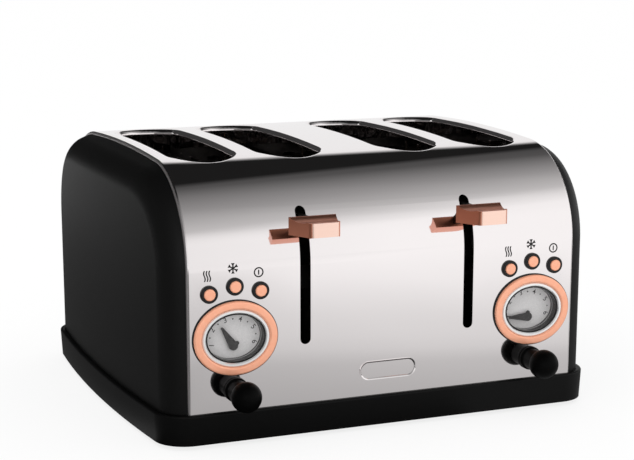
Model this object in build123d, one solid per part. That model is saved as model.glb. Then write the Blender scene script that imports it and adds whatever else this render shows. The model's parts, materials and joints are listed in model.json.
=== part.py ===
from build123d import *
import os
from math import cos, hypot, pi, radians, sin, tan

# Four-slot pop-up toaster. Millimetres, +Z up, the front looks along -Y.
# The origin lies on the table under the middle of the body.

# Plinth
FOOT_HEIGHT = 3.2
FOOT_RADIUS = 9.0
FOOT_INSET_X = 42.0
FOOT_INSET_Y = 34.0
BASE_HEIGHT = 20.8
BASE_SKIRT = 2.5
BASE_LEDGE = 1.3
BASE_CORNER = 22.0
BASE_DRAFT = 3.0
BASE_WALL = 4.5
BASE_FLOOR = 2.5
BASE_EDGE = 1.5
STUD_HALF = 4.0

# Steel wrap: one bent sheet over front, top and back
STEEL_WIDTH = 285.0
STEEL_DEPTH = 287.0
STEEL_WALL = 1.0
WALL_HEIGHT = 94.0
SHOULDER_RADIUS = 66.5
CROWN_ANGLE = 3.3
HEM_DEPTH = 6.0
HEM_THICK = 1.0
HEM_ROUND = 1.9

# Bread slots, running front to back
SLOT_WIDTH = 45.0
SLOT_LENGTH = 165.5
SLOT_SETBACK = 52.5
SLOT_MARGIN = 12.5
SLOT_PITCH = 63.0
LIP_WALL = 5.0
LIP_DEPTH = 17.0
LIP_ROUND = 3.5

# End panels
PANEL_REACH = 21.0
PANEL_BOW = 8.2
PANEL_INSET = 2.0
PANEL_WALL = 2.5
PANEL_ROUND = 20.0
PANEL_TAPER = 20.0

# Levers and carriages
LEVER_UP = 123.2
LEVER_OFFSET = 15.7
LEVER_TRAVEL = 74.0
LEVER_SLOT_WIDTH = 7.4
LEVER_SLOT_SPARE = 1.5
ARM_CLEAR = 1.4
ARM_HEIGHT = 7.0
HANDLE_BACK = 33.0
HANDLE_FRONT = 20.2
HANDLE_TALL = 11.7
HANDLE_LOW = 9.3
HANDLE_DEPTH = 23.3
HANDLE_STANDOFF = 11.8
HANDLE_ROUND = 3.0
SCOOP_RADIUS = 26.0
SCOOP_DEPTH = 2.2
SOCKET_DEPTH = 14.0
ROD_SETBACK = 23.0
ROD_RADIUS = 2.5
ROD_SEAT = 1.5
ROD_SPARE = 7.3
BUSH_WALL = 2.0
BUSH_LENGTH = 25.0
BUSH_RISE = 6.0
PLATE_WALL = 1.5
PLATE_HEIGHT = 16.0
PLATE_END = 6.0
KEEPER_OFFSET = 16.0
KEEPER_WIDTH = 12.0
KEEPER_REACH = 9.0
KEEPER_WALL = 2.0
MAGNET_WIDTH = 16.0
MAGNET_DEPTH = 7.5
SPRING_WIRE = 1.0
SPRING_CLEAR = 0.7

# Toasting chamber
BULKHEAD_WALL = 1.0
BULKHEAD_GAP = 1.0
RACK_REST = 16.3
RACK_HEIGHT = 10.0
RACK_SPINE = 1.2
RACK_BAR = 2.0
RACK_BAR_WIDTH = 17.0
RACK_BARS = 8
RACK_TAIL = 5.0
GUARD_INSET = 3.5
GUARD_TRAVEL = 7.0
GUARD_WIRE = 1.0
GUARD_FOOT = 28.3
GUARD_RAIL_INSET = 8.0
GUARD_WIRES = 7
GUARD_TAIL = 3.0
GUARD_WELD = 1.2
HEATER_WALL = 1.2
HEATER_FOOT = 22.3
HEATER_DROP = 8.0
HEATER_GAP = 5.5

# Crumb trays
TRAY_INNER = 14.0
TRAY_OFFSET = 6.0
TRAY_WALL = 0.8
TRAY_HEIGHT = 7.4
TRAY_PULL = 3.0
TRAY_LIP = 6.0

# Browning dials, knobs and their gear trains
DIAL_MARGIN = 32.75
DIAL_HALF_WIDTH = 23.4
DIAL_HALF_HEIGHT = 19.2
BEZEL_WIDTH = 5.6
BEZEL_PROUD = 3.0
BEZEL_ROUND = 1.4
TRIM_WIDTH = 2.6
TRIM_PROUD = 2.4
RIM_WIDTH = 1.0
RIM_PROUD = 1.6
CUP_DEPTH = 7.0
CUP_FLOOR = 1.5
CUP_STEP = 0.5
CUP_STEP_DEPTH = 3.0
FACE_WALL = 0.6
LENS_WALL = 1.0
NEEDLE_LENGTH = 15.0
NEEDLE_WALL = 1.0
NEEDLE_HUB = 3.1
NEEDLE_TIP = 0.7
NEEDLE_NIB = 1.3
NEEDLE_CLEAR = 1.6
NEEDLE_DROP = 6.3
NEEDLE_REST_LEFT = 58.0
NEEDLE_REST_RIGHT = 2.0
ARBOR_RADIUS = 1.2
KNOB_UP = 14.4
BALL_RADIUS = 10.2
BALL_STANDOFF = 20.4
KNOB_NECK = 7.3
KNOB_FLANGE = 8.3
KNOB_FLANGE_WALL = 3.0
KNOB_GAP = 0.5
SHAFT_RADIUS = 3.0
SHAFT_CLEAR = 1.2
GEAR_MODULE = 0.8
GEAR_WALL = 3.0
GEAR_BACKLASH = 0.28
GEAR_ADDENDUM = 0.7
GEAR_DEDENDUM = 1.2
GEAR_SLOPE = 0.36
TEETH_KNOB = 18
TEETH_IDLER = 16
TEETH_NEEDLE = 22
IDLER_PIN = 1.5
HUB_WALL = 1.7
BRACKET_WALL = 1.5
BRACKET_EDGE = 8.3
BRACKET_FOOT = 9.4
POST_RADIUS = 2.0
POST_INSET = 5.0
POST_BELOW = 10.3
POST_ABOVE = 3.3

# Push buttons
BUTTON_PITCH = 17.7
BUTTON_UP = 30.3
BUTTON_RISE = 3.9
BUTTON_RADIUS = 3.9
BUTTON_PROUD = 2.6
BUTTON_ROUND = 0.8
BUTTON_FLANGE_WALL = 1.0
BUTTON_STEM = 2.0
BUTTON_TRAVEL = 1.5
COLLAR_RADIUS = 5.9
COLLAR_WALL = 1.1
COLLAR_PROUD = 1.6
COLLAR_ROUND = 0.6
BOARD_WALL = 1.6
BOARD_FOOT = 4.3
BOARD_HEIGHT = 20.0
SWITCH_SIZE = 6.0
SWITCH_HEIGHT = 3.5

# Base fixings and cord gland
SCREW_INSET_X = 20.0
SCREW_INSET_Y = 46.8
SCREW_RADIUS = 1.7
SCREW_LENGTH = 9.0
SCREW_HEAD = 3.5
SCREW_HEAD_HEIGHT = 1.8
BOSS_RADIUS = 5.0
BOSS_HEIGHT = 10.0
GLAND_UP = 10.8
GLAND_BORE = 4.0
GLAND_WALL = 2.0
GLAND_FLANGE = 8.5
GLAND_FLANGE_WALL = 2.5
GLAND_NOSE = 6.5
GLAND_TAIL = 2.0

# Clearances
RUN_FIT = 0.05
GAP = 0.3
SLIP = 0.1
OVERCUT = 1.0
STEEP = 0.7

# Heights worked out from the sizes above
FLOOR_TOP = FOOT_HEIGHT + BASE_FLOOR
BODY_Z = FOOT_HEIGHT + BASE_HEIGHT
SHOULDER_Z = BODY_Z + WALL_HEIGHT
LEVER_Z = BODY_Z + LEVER_UP
LEVER_SLOT_HIGH = LEVER_Z + ARM_HEIGHT / 2 + LEVER_SLOT_WIDTH / 2 + LEVER_SLOT_SPARE
LEVER_SLOT_LOW = LEVER_Z - LEVER_TRAVEL - ARM_HEIGHT / 2 - LEVER_SLOT_WIDTH / 2 - LEVER_SLOT_SPARE
TRAY_LOW = FLOOR_TOP + GAP
TRAY_HIGH = TRAY_LOW + TRAY_HEIGHT
BULKHEAD_LOW = TRAY_HIGH + 2 * GAP
RACK_TOP = FLOOR_TOP + RACK_REST + RACK_HEIGHT + LEVER_TRAVEL
PLATE_LOW = RACK_TOP - RACK_HEIGHT
PLATE_HIGH = PLATE_LOW + PLATE_HEIGHT
BUSH_LOW = PLATE_HIGH + BUSH_RISE
BUSH_HIGH = BUSH_LOW + BUSH_LENGTH
ROD_TOP = LEVER_Z + ARM_HEIGHT / 2 + ROD_SPARE
KNOB_Z = BODY_Z + KNOB_UP
IDLER_Z = KNOB_Z + GEAR_MODULE * (TEETH_KNOB + TEETH_IDLER) / 2
NEEDLE_Z = IDLER_Z + GEAR_MODULE * (TEETH_IDLER + TEETH_NEEDLE) / 2
DIAL_Z = NEEDLE_Z + NEEDLE_DROP
BUTTON_Z = DIAL_Z + BUTTON_UP
BOARD_LOW = BUTTON_Z - BOARD_FOOT
BOARD_HIGH = BOARD_LOW + BOARD_HEIGHT
GLAND_Z = FOOT_HEIGHT + GLAND_UP

# Places along Y, front to back
FRONT_Y = -STEEL_DEPTH / 2
INSIDE_Y = FRONT_Y + STEEL_WALL
BASE_HALF_DEPTH = STEEL_DEPTH / 2 + BASE_LEDGE
BASE_SPREAD = BASE_HEIGHT * tan(radians(BASE_DRAFT))
SHOULDER_Y = FRONT_Y + SHOULDER_RADIUS
CROWN_RADIUS = SHOULDER_RADIUS - SHOULDER_Y / sin(radians(CROWN_ANGLE))
TOP_Z = SHOULDER_Z + CROWN_RADIUS - (CROWN_RADIUS - SHOULDER_RADIUS) * cos(radians(CROWN_ANGLE))
LIP_FOOT = TOP_Z - LIP_DEPTH
GUARD_LOW = FLOOR_TOP + GUARD_FOOT
GUARD_HIGH = LIP_FOOT - 2 * GUARD_WIRE
GUARD_RAILS = (GUARD_LOW + GUARD_RAIL_INSET, GUARD_HIGH - GUARD_RAIL_INSET)
HEATER_LOW = FLOOR_TOP + HEATER_FOOT
HEATER_HIGH = LIP_FOOT - HEATER_DROP
SLOT_MIDDLE_Y = FRONT_Y + SLOT_SETBACK + SLOT_LENGTH / 2
CHAMBER_FRONT = SLOT_MIDDLE_Y - SLOT_LENGTH / 2 - LIP_WALL - BULKHEAD_GAP
CHAMBER_REAR = SLOT_MIDDLE_Y + SLOT_LENGTH / 2 + LIP_WALL + BULKHEAD_GAP
BUSH_RADIUS = ROD_RADIUS + BUSH_WALL
SPRING_RADIUS = ROD_RADIUS + SPRING_CLEAR + SPRING_WIRE
ROD_Y = FRONT_Y + ROD_SETBACK
PLATE_FRONT = ROD_Y + BUSH_RADIUS
PLATE_BACK = PLATE_FRONT + PLATE_WALL
HANDLE_Y = FRONT_Y - HANDLE_STANDOFF
CUP_FRONT = INSIDE_Y + SLIP
CUP_BACK = CUP_FRONT + CUP_DEPTH
FACE_FRONT = CUP_BACK - CUP_FLOOR - FACE_WALL
NEEDLE_BACK = FACE_FRONT - NEEDLE_CLEAR
GEAR_FRONT = CUP_BACK + 2 * GAP
GEAR_BACK = GEAR_FRONT + GEAR_WALL
BRACKET_FRONT = GEAR_BACK + BRACKET_WALL
BRACKET_BACK = BRACKET_FRONT + BRACKET_WALL
BUTTON_BACK = INSIDE_Y + SLIP + COLLAR_ROUND
BUTTON_END = BUTTON_BACK + BUTTON_FLANGE_WALL + BUTTON_TRAVEL
SWITCH_FRONT = BUTTON_END + BUTTON_TRAVEL + GAP
BOARD_FRONT = SWITCH_FRONT + SWITCH_HEIGHT
BALL_Y = FRONT_Y - BALL_STANDOFF
SHAFT_END = BALL_Y + BALL_RADIUS / 4

# Places along X, on the right-hand half
PANEL_HALF_WIDTH = STEEL_WIDTH / 2 + PANEL_REACH
BASE_HALF_WIDTH = PANEL_HALF_WIDTH + BASE_SKIRT
SLOT_OUTER_X = STEEL_WIDTH / 2 - SLOT_MARGIN - SLOT_WIDTH / 2
SLOT_INNER_X = SLOT_OUTER_X - SLOT_PITCH
ROD_X = (SLOT_INNER_X + SLOT_OUTER_X) / 2
LEVER_X = ROD_X - LEVER_OFFSET
KEEPER_X = ROD_X + KEEPER_OFFSET
GUARD_OPEN = SLOT_WIDTH / 2 - GUARD_INSET
HEATER_INNER_X = SLOT_INNER_X - SLOT_WIDTH / 2 - HEATER_GAP
HEATER_OUTER_X = SLOT_OUTER_X + SLOT_WIDTH / 2 + HEATER_GAP
TRAY_X = ROD_X - TRAY_OFFSET
TRAY_WIDTH = 2 * (TRAY_X - TRAY_INNER)
STUD_X = TRAY_X + TRAY_WIDTH / 2 + 2 * GAP + STUD_HALF
DIAL_X = STEEL_WIDTH / 2 - DIAL_MARGIN
ARM_WIDTH = LEVER_SLOT_WIDTH - 2 * ARM_CLEAR
LENS_INSET = TRIM_WIDTH + RIM_WIDTH
BUTTON_BORE = BUTTON_RADIUS + SLIP
BUTTON_FLANGE = BUTTON_RADIUS + COLLAR_WALL
COLLAR_BARREL = BUTTON_BORE + COLLAR_WALL
BRACKET_HALF_WIDTH = BUTTON_PITCH + BRACKET_EDGE
POST_OFFSET = BRACKET_HALF_WIDTH - POST_INSET
POST_LOW = DIAL_Z - DIAL_HALF_HEIGHT - POST_BELOW
POST_HIGH = DIAL_Z + DIAL_HALF_HEIGHT + POST_ABOVE
SCREW_X = BASE_HALF_WIDTH - SCREW_INSET_X
SCREW_Y = BASE_HALF_DEPTH - SCREW_INSET_Y
GLAND_BARREL = GLAND_BORE + GLAND_WALL
SIDES = {"left": -1, "right": 1}
SLOTS = {"inner": SLOT_INNER_X, "outer": SLOT_OUTER_X}


def block(x_range, y_range, z_range):
    """Box between two limits on each axis."""
    sizes = [high - low for low, high in (x_range, y_range, z_range)]
    middle = [(high + low) / 2 for low, high in (x_range, y_range, z_range)]
    return Pos(*middle) * Box(*sizes)


def along_y(sketch, y_front, y_back):
    """Extrude a sketch drawn in X and Z from y_front back to y_back."""
    placed = Pos(0, y_back, 0) * (Plane.XZ * sketch)
    return extrude(placed, amount=y_back - y_front, dir=(0, -1, 0))


def rod_y(radius, y_front, y_back, x=0.0, z=0.0):
    """Round bar along Y."""
    return along_y(Pos(x, z) * Circle(radius), y_front, y_back)


def rod_z(radius, z_low, z_high, x=0.0, y=0.0):
    """Round bar along Z."""
    return Pos(x, y, (z_low + z_high) / 2) * Cylinder(radius, z_high - z_low)


def body_profile(inset, foot):
    """Cross-section of the body on the YZ plane, moved inwards by inset."""
    radius = SHOULDER_RADIUS - inset
    wall = FRONT_Y + inset
    crown = radians(CROWN_ANGLE)
    middle = (pi + pi / 2 + crown) / 2
    crown_y = SHOULDER_Y - radius * sin(crown)
    crown_z = SHOULDER_Z + radius * cos(crown)
    arc_y = SHOULDER_Y + radius * cos(middle)
    arc_z = SHOULDER_Z + radius * sin(middle)
    outline = [
        Line((0, wall, foot), (0, wall, SHOULDER_Z)),
        ThreePointArc((0, wall, SHOULDER_Z), (0, arc_y, arc_z), (0, crown_y, crown_z)),
        ThreePointArc((0, crown_y, crown_z), (0, 0, TOP_Z - inset), (0, -crown_y, crown_z)),
        ThreePointArc((0, -crown_y, crown_z), (0, -arc_y, arc_z), (0, -wall, SHOULDER_Z)),
        Line((0, -wall, SHOULDER_Z), (0, -wall, foot)),
        Line((0, -wall, foot), (0, wall, foot)),
    ]
    return make_face(outline)


def body_block(inset, x_low, x_high, foot=BODY_Z):
    """The body's cross-section as a solid bar along X."""
    return extrude(Pos(x_low, 0, 0) * body_profile(inset, foot), amount=x_high - x_low, dir=(1, 0, 0))


def bowed_plan(half_width, half_depth, bow, corner):
    """Plan with straight front and back, bowed sides and round corners."""
    end = half_width - bow
    outline = [
        Line((-end, -half_depth), (end, -half_depth)),
        ThreePointArc((end, -half_depth), (half_width, 0), (end, half_depth)),
        Line((end, half_depth), (-end, half_depth)),
        ThreePointArc((-end, half_depth), (-half_width, 0), (-end, -half_depth)),
    ]
    plan = make_face(outline)
    return fillet(plan.vertices(), corner)


def slot_outline(margin):
    """Round-ended outline of a bread slot, larger all round by margin."""
    return SlotOverall(SLOT_LENGTH + 2 * margin, SLOT_WIDTH + 2 * margin, rotation=90)


def oval(margin):
    """Oval of the dial opening, larger all round by margin."""
    return Pos(0, 0) * Ellipse(DIAL_HALF_WIDTH + margin, DIAL_HALF_HEIGHT + margin)


def dial_ring(outer, inner, y_front, y_back, x):
    """Oval ring or, with no inner margin, an oval disc at a dial's place."""
    shape = oval(outer) if inner is None else oval(outer) - oval(inner)
    return along_y(Pos(x, DIAL_Z) * shape, y_front, y_back)


def gear_outline(teeth, turn):
    """Straight-flanked gear. Turn is in degrees, clockwise seen from the front, from a tooth at the top."""
    pitch_radius = GEAR_MODULE * teeth / 2
    half_tooth = (pi * GEAR_MODULE / 2 - GEAR_BACKLASH) / 2
    levels = [-GEAR_DEDENDUM, GEAR_ADDENDUM]
    flank = [(pitch_radius + level, half_tooth - GEAR_SLOPE * level) for level in levels]
    points = []
    for tooth in range(teeth):
        middle = 2 * pi * tooth / teeth + radians(turn)
        rise = [(radius, middle - half / radius) for radius, half in flank]
        fall = [(radius, middle + half / radius) for radius, half in reversed(flank)]
        points += [(radius * sin(angle), radius * cos(angle)) for radius, angle in rise + fall]
    return Polygon(*points, align=None)


def gear_turns():
    """Turns that put knob gear, idler and needle gear in mesh, with a knob gear tooth at the top."""
    idler_pitch = 360 / TEETH_IDLER
    needle_pitch = 360 / TEETH_NEEDLE
    idler = 180 + idler_pitch / 2
    share = (idler % idler_pitch) / idler_pitch
    needle_turn = 180 - share * needle_pitch + needle_pitch / 2
    return 0.0, idler, needle_turn


def button_spots(side):
    """X and Z of the reheat, defrost and cancel buttons of one side."""
    middle = side * DIAL_X
    return {
        "reheat": (middle - BUTTON_PITCH, BUTTON_Z),
        "defrost": (middle, BUTTON_Z + BUTTON_RISE),
        "cancel": (middle + BUTTON_PITCH, BUTTON_Z),
    }


# Plinth: a tray with drafted, bowed walls, posts for the bulkheads and mouths for the crumb trays
def base_tray():
    plan = bowed_plan(BASE_HALF_WIDTH, BASE_HALF_DEPTH, PANEL_BOW, BASE_CORNER)
    body = extrude(Pos(0, 0, FOOT_HEIGHT) * plan, amount=BASE_HEIGHT, taper=-BASE_DRAFT)
    body = fillet(body.faces().sort_by(Axis.Z)[-1].edges(), BASE_EDGE)
    hollow = bowed_plan(
        BASE_HALF_WIDTH - BASE_WALL, BASE_HALF_DEPTH - BASE_WALL, PANEL_BOW, BASE_CORNER - BASE_WALL
    )
    body -= extrude(Pos(0, 0, FLOOR_TOP) * hollow, amount=BASE_HEIGHT)
    for y in (CHAMBER_FRONT - BULKHEAD_WALL / 2, CHAMBER_REAR + BULKHEAD_WALL / 2):
        for x in (-STUD_X, 0.0, STUD_X):
            stud_x = (x - STUD_HALF, x + STUD_HALF)
            stud_y = (y - STUD_HALF, y + STUD_HALF)
            body += block(stud_x, stud_y, (FLOOR_TOP - BASE_FLOOR / 2, BULKHEAD_LOW))
    for x in (-SCREW_X, SCREW_X):
        for y in (-SCREW_Y, SCREW_Y):
            body += rod_z(BOSS_RADIUS, FLOOR_TOP - BASE_FLOOR / 2, FLOOR_TOP + BOSS_HEIGHT, x, y)
            body -= rod_z(SCREW_RADIUS + RUN_FIT, 0, FLOOR_TOP + BOSS_HEIGHT + OVERCUT, x, y)
    rear = (BASE_HALF_DEPTH - BASE_WALL - OVERCUT, BASE_HALF_DEPTH + BASE_HEIGHT)
    for side in SIDES.values():
        middle = side * TRAY_X
        reach = TRAY_WIDTH / 2 + GAP
        mouth = (FLOOR_TOP, TRAY_HIGH + GAP)
        body -= block((middle - reach, middle + reach), rear, mouth)
        body -= rod_z(ROD_RADIUS + RUN_FIT, FLOOR_TOP - ROD_SEAT, BODY_Z, side * ROD_X, ROD_Y)
    body -= rod_y(GLAND_BARREL + RUN_FIT, rear[0], rear[1], 0, GLAND_Z)
    return body


def feet():
    spots_x = BASE_HALF_WIDTH - FOOT_INSET_X
    spots_y = BASE_HALF_DEPTH - FOOT_INSET_Y
    pads = []
    for x in (-spots_x, spots_x):
        for y in (-spots_y, spots_y):
            pad = rod_z(FOOT_RADIUS, 0, FOOT_HEIGHT, x, y)
            pads.append(fillet(pad.faces().sort_by(Axis.Z)[0].edges(), FOOT_HEIGHT / 4))
    return Compound(children=pads)


# Steel wrap with hemmed ends, rolled slot lips and the holes of the front
def lip_edges(wrap, x):
    """Upper edges of one slot's wall."""
    straight = (SLOT_LENGTH - SLOT_WIDTH) / 2
    found = []
    for edge in wrap.edges():
        spot = edge.center()
        past_end = max(abs(spot.Y - SLOT_MIDDLE_Y) - straight, 0)
        on_wall = abs(hypot(spot.X - x, past_end) - SLOT_WIDTH / 2) < SLIP
        if on_wall and spot.Z > LIP_FOOT + LIP_ROUND and abs(edge.tangent_at(0.5).Z) < STEEP:
            found.append(edge)
    return found


def steel_wrap():
    half = STEEL_WIDTH / 2
    foot = BODY_Z - OVERCUT
    solid = body_block(0, -half, half)
    end_edges = [edge for edge in solid.edges() if abs(edge.center().X) > half - SLIP]
    solid = fillet([edge for edge in end_edges if edge.center().Z > BODY_Z + OVERCUT], HEM_ROUND)
    wrap = solid - body_block(STEEL_WALL, -half - OVERCUT, half + OVERCUT, foot)
    for side in SIDES.values():
        ends = sorted([side * half, side * (half - HEM_THICK)])
        hem = body_block(0, *ends) & solid
        wrap += hem - body_block(HEM_DEPTH, ends[0] - OVERCUT, ends[1] + OVERCUT, foot)
    slot_spots = [side * x for side in SIDES.values() for x in SLOTS.values()]
    for x in slot_spots:
        lip = Pos(x, SLOT_MIDDLE_Y, LIP_FOOT) * slot_outline(LIP_WALL)
        wrap += extrude(lip, amount=LIP_DEPTH + OVERCUT) & solid
    for x in slot_spots:
        hole = Pos(x, SLOT_MIDDLE_Y, LIP_FOOT - OVERCUT) * slot_outline(0)
        wrap -= extrude(hole, amount=LIP_DEPTH + 2 * OVERCUT)
    for x in slot_spots:
        wrap = fillet(lip_edges(wrap, x), LIP_ROUND)
    front = (FRONT_Y - OVERCUT, INSIDE_Y + OVERCUT)
    slot_middle = (LEVER_SLOT_LOW + LEVER_SLOT_HIGH) / 2
    slot_length = LEVER_SLOT_HIGH - LEVER_SLOT_LOW
    for side in SIDES.values():
        lever_slot = SlotOverall(slot_length, LEVER_SLOT_WIDTH, rotation=90)
        wrap -= along_y(Pos(side * LEVER_X, slot_middle) * lever_slot, FRONT_Y - OVERCUT, PLATE_FRONT)
        wrap -= dial_ring(SLIP, None, *front, side * DIAL_X)
        wrap -= rod_y(SHAFT_RADIUS + SHAFT_CLEAR, *front, side * DIAL_X, KNOB_Z)
        for x, z in button_spots(side).values():
            wrap -= rod_y(COLLAR_BARREL + SLIP, *front, x, z)
    return wrap


# End panels: hollow mouldings that carry the body's cross-section out to a bowed, rounded side
def panel_block(inset, half_width, rounding, foot):
    """Right-hand panel as a solid: the body's cross-section, drawn in outwards, cut by the bowed side."""
    half = STEEL_WIDTH / 2
    depth = STEEL_DEPTH / 2
    end = half_width - PANEL_BOW
    side_arc = ThreePointArc((end, -depth), (half_width, 0), (end, depth))
    plan = make_face([
        Line((half, -depth), (end, -depth)),
        side_arc,
        Line((end, depth), (half, depth)),
        Line((half, depth), (half, -depth)),
    ])
    section = Pos(half, 0, 0) * body_profile(inset, -SHOULDER_Z)
    bar = extrude(section, amount=PANEL_REACH + OVERCUT, dir=(1, 0, 0), taper=PANEL_TAPER)
    panel = bar & extrude(Pos(0, 0, foot) * plan, amount=TOP_Z)
    outer = []
    for edge in panel.edges():
        reach = min(vertex.X for vertex in edge.vertices())
        if reach > half + OVERCUT and edge.center().Z > foot + OVERCUT:
            outer.append(edge)
    return fillet(outer, rounding)


def end_panel(side):
    outer = panel_block(PANEL_INSET, PANEL_HALF_WIDTH, PANEL_ROUND, BODY_Z)
    inner = panel_block(
        PANEL_INSET + PANEL_WALL, PANEL_HALF_WIDTH - PANEL_WALL, PANEL_ROUND - PANEL_WALL, BODY_Z - OVERCUT
    )
    panel = outer - inner
    return panel if side > 0 else mirror(panel, about=Plane.YZ)


# Bulkheads: sheet walls in front of and behind the chamber, slotted for racks and guards
def bulkhead(y_front, y_back):
    half = STEEL_WIDTH / 2 - HEM_THICK - OVERCUT
    wall = block((-half, half), (y_front, y_back), (BULKHEAD_LOW, TOP_Z))
    wall = wall & body_block(STEEL_WALL + GAP, -half, half, 0)
    reach = (y_front - OVERCUT, y_back + OVERCUT)
    rack_slit = (RACK_TOP - RACK_HEIGHT - LEVER_TRAVEL - OVERCUT, RACK_TOP + OVERCUT)
    wide = RACK_SPINE / 2 + 2 * GAP
    for side in SIDES.values():
        for slot in SLOTS.values():
            x = side * slot
            wall -= block((x - wide, x + wide), reach, rack_slit)
            for hand in (-1, 1):
                guard = x + hand * GUARD_OPEN
                spare = GUARD_WIRE + GAP
                ends = sorted([guard + hand * spare, guard - hand * (GUARD_TRAVEL + spare)])
                for z in GUARD_RAILS:
                    wall -= block(ends, reach, (z - spare, z + spare))
    return wall


def front_bulkhead():
    wall = bulkhead(CHAMBER_FRONT - BULKHEAD_WALL, CHAMBER_FRONT)
    tab_half = 2 * BUSH_RADIUS
    tab_y = (ROD_Y - BUSH_RADIUS, CHAMBER_FRONT)
    tab_z = (ROD_TOP - GAP - 2 * BULKHEAD_WALL, ROD_TOP - GAP)
    for side in SIDES.values():
        x = side * ROD_X
        wall += block((x - tab_half, x + tab_half), tab_y, tab_z)
        wall -= rod_z(ROD_RADIUS + RUN_FIT, tab_z[0] - OVERCUT, ROD_TOP, x, ROD_Y)
    return wall


def rear_bulkhead():
    return bulkhead(CHAMBER_REAR, CHAMBER_REAR + BULKHEAD_WALL)


def heater_boards(side):
    boards = []
    chamber = (CHAMBER_FRONT, CHAMBER_REAR)
    for x in (HEATER_INNER_X, ROD_X, HEATER_OUTER_X):
        low = side * x - HEATER_WALL / 2
        boards.append(block((low, low + HEATER_WALL), chamber, (HEATER_LOW, HEATER_HIGH)))
    return Compound(children=boards)


# Bread guard: upright wires welded to two rails that slide in the bulkheads
def bread_guard(side, slot, hand):
    x = side * slot + hand * GUARD_OPEN
    rail = (CHAMBER_FRONT - BULKHEAD_WALL - GUARD_TAIL, CHAMBER_REAR + BULKHEAD_WALL + GUARD_TAIL)
    guard = rod_y(GUARD_WIRE, *rail, x, GUARD_RAILS[0])
    guard += rod_y(GUARD_WIRE, *rail, x, GUARD_RAILS[1])
    pitch = (CHAMBER_REAR - CHAMBER_FRONT) / (GUARD_WIRES + 1)
    for wire in range(GUARD_WIRES):
        y = CHAMBER_FRONT + pitch * (wire + 1)
        guard += rod_z(GUARD_WIRE, GUARD_LOW, GUARD_HIGH, x - hand * GUARD_WELD, y)
    return guard


# Carriage: slider plate with bush, lever arm and keeper, and a rack for each slot
def carriage(side):
    plate_y = (PLATE_FRONT, PLATE_BACK)
    arm_z = (LEVER_Z - ARM_HEIGHT / 2, LEVER_Z + ARM_HEIGHT / 2)
    socket_end = HANDLE_Y - SOCKET_DEPTH
    rail = block((SLOT_INNER_X - PLATE_END, SLOT_OUTER_X + PLATE_END), plate_y, (PLATE_LOW, PLATE_HIGH))
    upright = block((LEVER_X - ARM_WIDTH, ROD_X + BUSH_RADIUS), plate_y, (PLATE_LOW, arm_z[1]))
    arm = block((LEVER_X - ARM_WIDTH / 2, LEVER_X + ARM_WIDTH / 2), (socket_end, PLATE_BACK), arm_z)
    keeper = block(
        (KEEPER_X - KEEPER_WIDTH / 2, KEEPER_X + KEEPER_WIDTH / 2),
        (PLATE_FRONT - KEEPER_REACH, PLATE_BACK),
        (PLATE_HIGH - KEEPER_WALL, PLATE_HIGH),
    )
    web_half = BUSH_RADIUS - BUSH_WALL / 2
    web = block((ROD_X - web_half, ROD_X + web_half), (ROD_Y, PLATE_BACK), (BUSH_LOW, BUSH_HIGH))
    slider = rail + upright + arm + keeper + web
    slider += rod_z(BUSH_RADIUS, BUSH_LOW, BUSH_HIGH, ROD_X, ROD_Y)
    slider -= rod_z(ROD_RADIUS + RUN_FIT, BUSH_LOW - OVERCUT, BUSH_HIGH + OVERCUT, ROD_X, ROD_Y)
    return slider if side > 0 else mirror(slider, about=Plane.YZ)


def bread_racks(side):
    racks = []
    pitch = (CHAMBER_REAR - CHAMBER_FRONT) / (RACK_BARS + 1)
    for slot in SLOTS.values():
        x = side * slot
        spine = (PLATE_BACK, CHAMBER_REAR + BULKHEAD_WALL + RACK_TAIL)
        rack = block((x - RACK_SPINE / 2, x + RACK_SPINE / 2), spine, (RACK_TOP - RACK_HEIGHT, RACK_TOP))
        for bar in range(RACK_BARS):
            y = CHAMBER_FRONT + pitch * (bar + 1)
            across = (x - RACK_BAR_WIDTH / 2, x + RACK_BAR_WIDTH / 2)
            rack += block(across, (y - RACK_BAR / 2, y + RACK_BAR / 2), (RACK_TOP - RACK_BAR, RACK_TOP))
        racks.append(rack)
    return Compound(children=racks)


# Lever knob: wedge that narrows to the front, with a finger scoop on top
def lever_knob(side):
    x = side * LEVER_X
    back = HANDLE_Y
    front = back - HANDLE_DEPTH
    rear_face = Pos(0, back, 0) * (Plane.XZ * Pos(x, LEVER_Z) * Rectangle(HANDLE_BACK, HANDLE_TALL))
    front_face = Pos(0, front, 0) * (Plane.XZ * Pos(x, LEVER_Z) * Rectangle(HANDLE_FRONT, HANDLE_LOW))
    knob = loft([rear_face, front_face])
    upright = [edge for edge in knob.edges() if abs(edge.tangent_at(0.5).Z) > STEEP]
    knob = fillet([edge for edge in upright if edge.center().Y < front + OVERCUT], HANDLE_ROUND)
    scoop_z = LEVER_Z + HANDLE_TALL / 2 - SCOOP_DEPTH + SCOOP_RADIUS
    scoop = Cylinder(SCOOP_RADIUS, 2 * HANDLE_BACK, rotation=(0, 90, 0))
    knob -= Pos(x, (back + front) / 2, scoop_z) * scoop
    socket = (back - SOCKET_DEPTH - SLIP, back + OVERCUT)
    wide = ARM_WIDTH / 2 + RUN_FIT
    tall = ARM_HEIGHT / 2 + RUN_FIT
    return knob - block((x - wide, x + wide), socket, (LEVER_Z - tall, LEVER_Z + tall))


def guide_rods():
    foot = FLOOR_TOP - ROD_SEAT
    rods = [rod_z(ROD_RADIUS, foot, ROD_TOP, side * ROD_X, ROD_Y) for side in SIDES.values()]
    return Compound(children=rods)


def return_spring(side):
    x = side * ROD_X
    outer = rod_z(SPRING_RADIUS, FLOOR_TOP, BUSH_LOW - GAP, x, ROD_Y)
    return outer - rod_z(SPRING_RADIUS - SPRING_WIRE, FLOOR_TOP - OVERCUT, BUSH_LOW, x, ROD_Y)


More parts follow.
